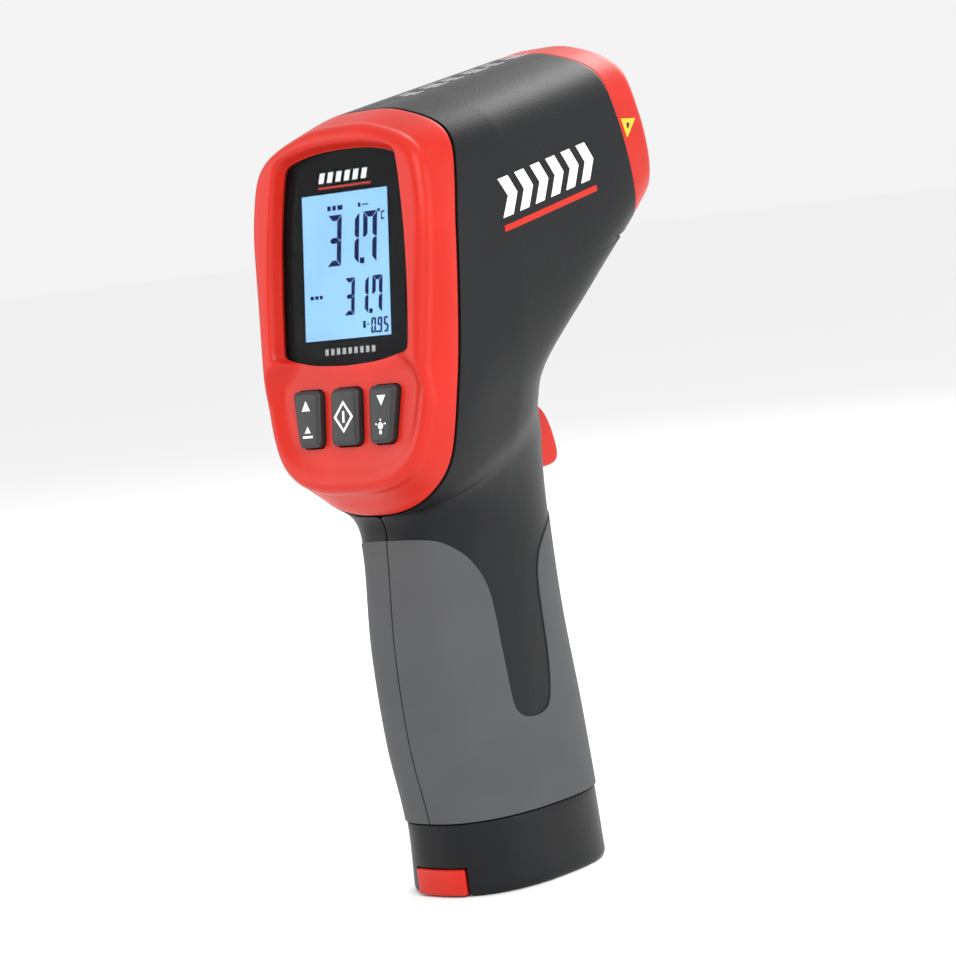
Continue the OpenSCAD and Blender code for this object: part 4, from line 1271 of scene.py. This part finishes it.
class THERMO_OT_inner_parts(bpy.types.Operator):
    """Gives the CAD parts that stay their finished materials"""

    bl_idname = "thermo.inner_parts"
    bl_label = "Finish inner parts"

    def execute(self, context):
        solder_mask = (0.015, 0.09, 0.035)
        green = surface("circuit_board", (0.02, 0.13, 0.05), 0.38, 0.3, 700, second=solder_mask)
        black = plastic("black_moulding", (0.018, 0.018, 0.02), 0.45)
        steel = surface("bright_steel", (0.62, 0.62, 0.63), 0.28, 0.2, 2600, metal=1.0)
        brass = surface("turned_brass", (0.72, 0.52, 0.22), 0.3, 0.2, 2600, metal=1.0)
        tube = surface("matt_black", (0.012, 0.012, 0.013), 0.62, 0.3, 2400)
        lens = surface("lens_glass", (0.1, 0.045, 0.085), 0.06, 0, coat=1.0)
        faded = (0.06, 0.064, 0.08)
        wrap = surface("battery_wrap", (0.07, 0.075, 0.09), 0.32, 0.1, 900, second=faded)
        flex = surface("flat_cable", (0.42, 0.2, 0.03), 0.35, 0.1, 900)
        mat = surface("silicone_mat", tuple(colours().key), 0.55, 0.3, 1900)
        backing = surface("display_backing", (0.5, 0.62, 0.72), 0.4, 0.05, 900)
        finishes = (
            (backing, ("lcd_panel", "lcd_backlight")),
            (mat, ("keypad_mat",)),
            (green, ("main_board", "sensor_board", "switch_board")),
            (flex, ("sensor_flex",)),
            (black, ("board_components", "buzzer", "trigger_switch", "switch_plunger")),
            (black, ("contact_block", "battery_tray")),
            (steel, ("board_screws", "housing_screws", "trigger_pin", "thermopile")),
            (brass, ("laser_module", "contact_pads")),
            (lens, ("ir_lens", "laser_window")),
            (tube, ("lens_tube", "lens_retainer", "front_plate")),
            (wrap, ("battery",)),
        )
        for material, names in finishes:
            for name in names:
                if not NODES[name].material_slots:
                    NODES[name].data.materials.append(material)
                for slot in NODES[name].material_slots:
                    slot.material = material
        # Each spring winds along Y from its start point; the real spring shortens along Y towards the
        # end that stands still
        trigger_coil = coil("trigger_coil", TRIGGER_SPRING, TRIGGER_SPRING_LENGTH, 5)
        finish_piece(trigger_coil, "root", steel, ["trigger_spring"])
        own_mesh(trigger_coil)
        latch_coil = coil("latch_coil", LATCH_SPRING, LATCH_SPRING_LENGTH, 4)
        finish_piece(latch_coil, "cap", steel, ["latch_spring"])
        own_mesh(latch_coil)
        return {"FINISHED"}


# ---- stage


WORLD_STRENGTH = 0.9
LIGHTS_AIM = (0, 0.01, 0.11)
# Each light: place, size in metres and power in watts
LIGHTS = {
    "key_light": ((0.75, -0.55, 0.75), 0.7, 9),
    "left_light": ((-0.75, -0.6, 0.35), 0.6, 3),
    "side_light": ((0.9, 0.4, 0.25), 0.5, 2),
    "rear_light": ((-0.1, 0.9, 0.8), 0.6, 7),
}
CAMERA_PLACE = (0.488, -0.569, 0.1488)
CAMERA_RIGHT, CAMERA_BACK = (0.7628, 0.6352, -0.121), (0.6451, -0.7604, 0.0751)
CAMERA_LENS = 122.9


def placed(right, back, place):
    """Matrix of something that looks away from back, with right on its right-hand side."""
    up = np.cross(back, right)
    return Matrix([[right[i], up[i], back[i], place[i]] for i in range(3)] + [[0, 0, 0, 1]])


def softbox(name, place, size, energy):
    deselect()
    bpy.ops.object.light_add(type="AREA", location=place)
    light = bpy.context.object
    light.name = name
    light.data.size = size
    light.data.energy = energy
    back = np.array(place, float) - np.array(LIGHTS_AIM, float)
    back /= np.linalg.norm(back)
    right = np.cross([0, 0, 1], back)
    right /= np.linalg.norm(right)
    light.matrix_world = placed(right, back, place)


class THERMO_OT_stage(bpy.types.Operator):
    """Sets the pale floor, the soft lights and the camera"""

    bl_idname = "thermo.stage"
    bl_label = "Add stage"

    def execute(self, context):
        scene = context.scene
        deselect()
        bpy.ops.mesh.primitive_plane_add(size=60)
        floor = named(context.object, "floor")
        pale = tuple(colours().floor)
        duller = tuple(0.99 * c for c in pale)
        paper = surface("floor_paper", pale, 0.7, 0.05, 300, second=duller)
        floor.data.materials.append(paper)
        world = bpy.data.worlds.new("pale_room")
        world.use_nodes = True
        sky = world.node_tree.nodes["Background"]
        sky.inputs["Color"].default_value = (1, 1, 1, 1)
        sky.inputs["Strength"].default_value = WORLD_STRENGTH
        scene.world = world
        scene.view_settings.view_transform = "Standard"
        for name, light in LIGHTS.items():
            softbox(name, *light)
        camera_data = bpy.data.cameras.new("camera")
        camera = bpy.data.objects.new("camera", camera_data)
        scene.collection.objects.link(camera)
        camera_data.lens = CAMERA_LENS
        camera_data.sensor_width = 36
        right, back = np.array(CAMERA_RIGHT), np.array(CAMERA_BACK)
        right /= np.linalg.norm(right)
        back -= right * (right @ back)
        back /= np.linalg.norm(back)
        camera.matrix_world = placed(right, back, CAMERA_PLACE)
        scene.camera = camera
        return {"FINISHED"}


# ---- panel

STEPS = [
    THERMO_OT_housings,
    THERMO_OT_grips,
    THERMO_OT_bezel,
    THERMO_OT_display,
    THERMO_OT_keys,
    THERMO_OT_nose,
    THERMO_OT_marks,
    THERMO_OT_trigger,
    THERMO_OT_cap,
    THERMO_OT_latch,
    THERMO_OT_inner_parts,
    THERMO_OT_stage,
]


class THERMO_PT_panel(bpy.types.Panel):
    """Lists the sizes, the colours and the steps"""

    bl_label = "Infrared thermometer"
    bl_idname = "THERMO_PT_panel"
    bl_space_type = "VIEW_3D"
    bl_region_type = "UI"
    bl_category = "Thermometer"

    def draw(self, context):
        for group in (context.scene.thermometer_sizes, context.scene.thermometer_colours):
            box = self.layout.box()
            for name in group.__annotations__:
                box.prop(group, name)
        for step in STEPS:
            self.layout.operator(step.bl_idname)


CLASSES = [ThermometerSizes, ThermometerColours, *STEPS, THERMO_PT_panel]


def register():
    for cls in CLASSES:
        bpy.utils.register_class(cls)
    bpy.types.Scene.thermometer_sizes = PointerProperty(type=ThermometerSizes)
    bpy.types.Scene.thermometer_colours = PointerProperty(type=ThermometerColours)


def unregister():
    del bpy.types.Scene.thermometer_colours
    del bpy.types.Scene.thermometer_sizes
    for cls in reversed(CLASSES):
        bpy.utils.unregister_class(cls)


def main():
    register()
    for step in STEPS:
        group, name = step.bl_idname.split(".")
        getattr(getattr(bpy.ops, group), name)()


if __name__ == "__main__":
    main()
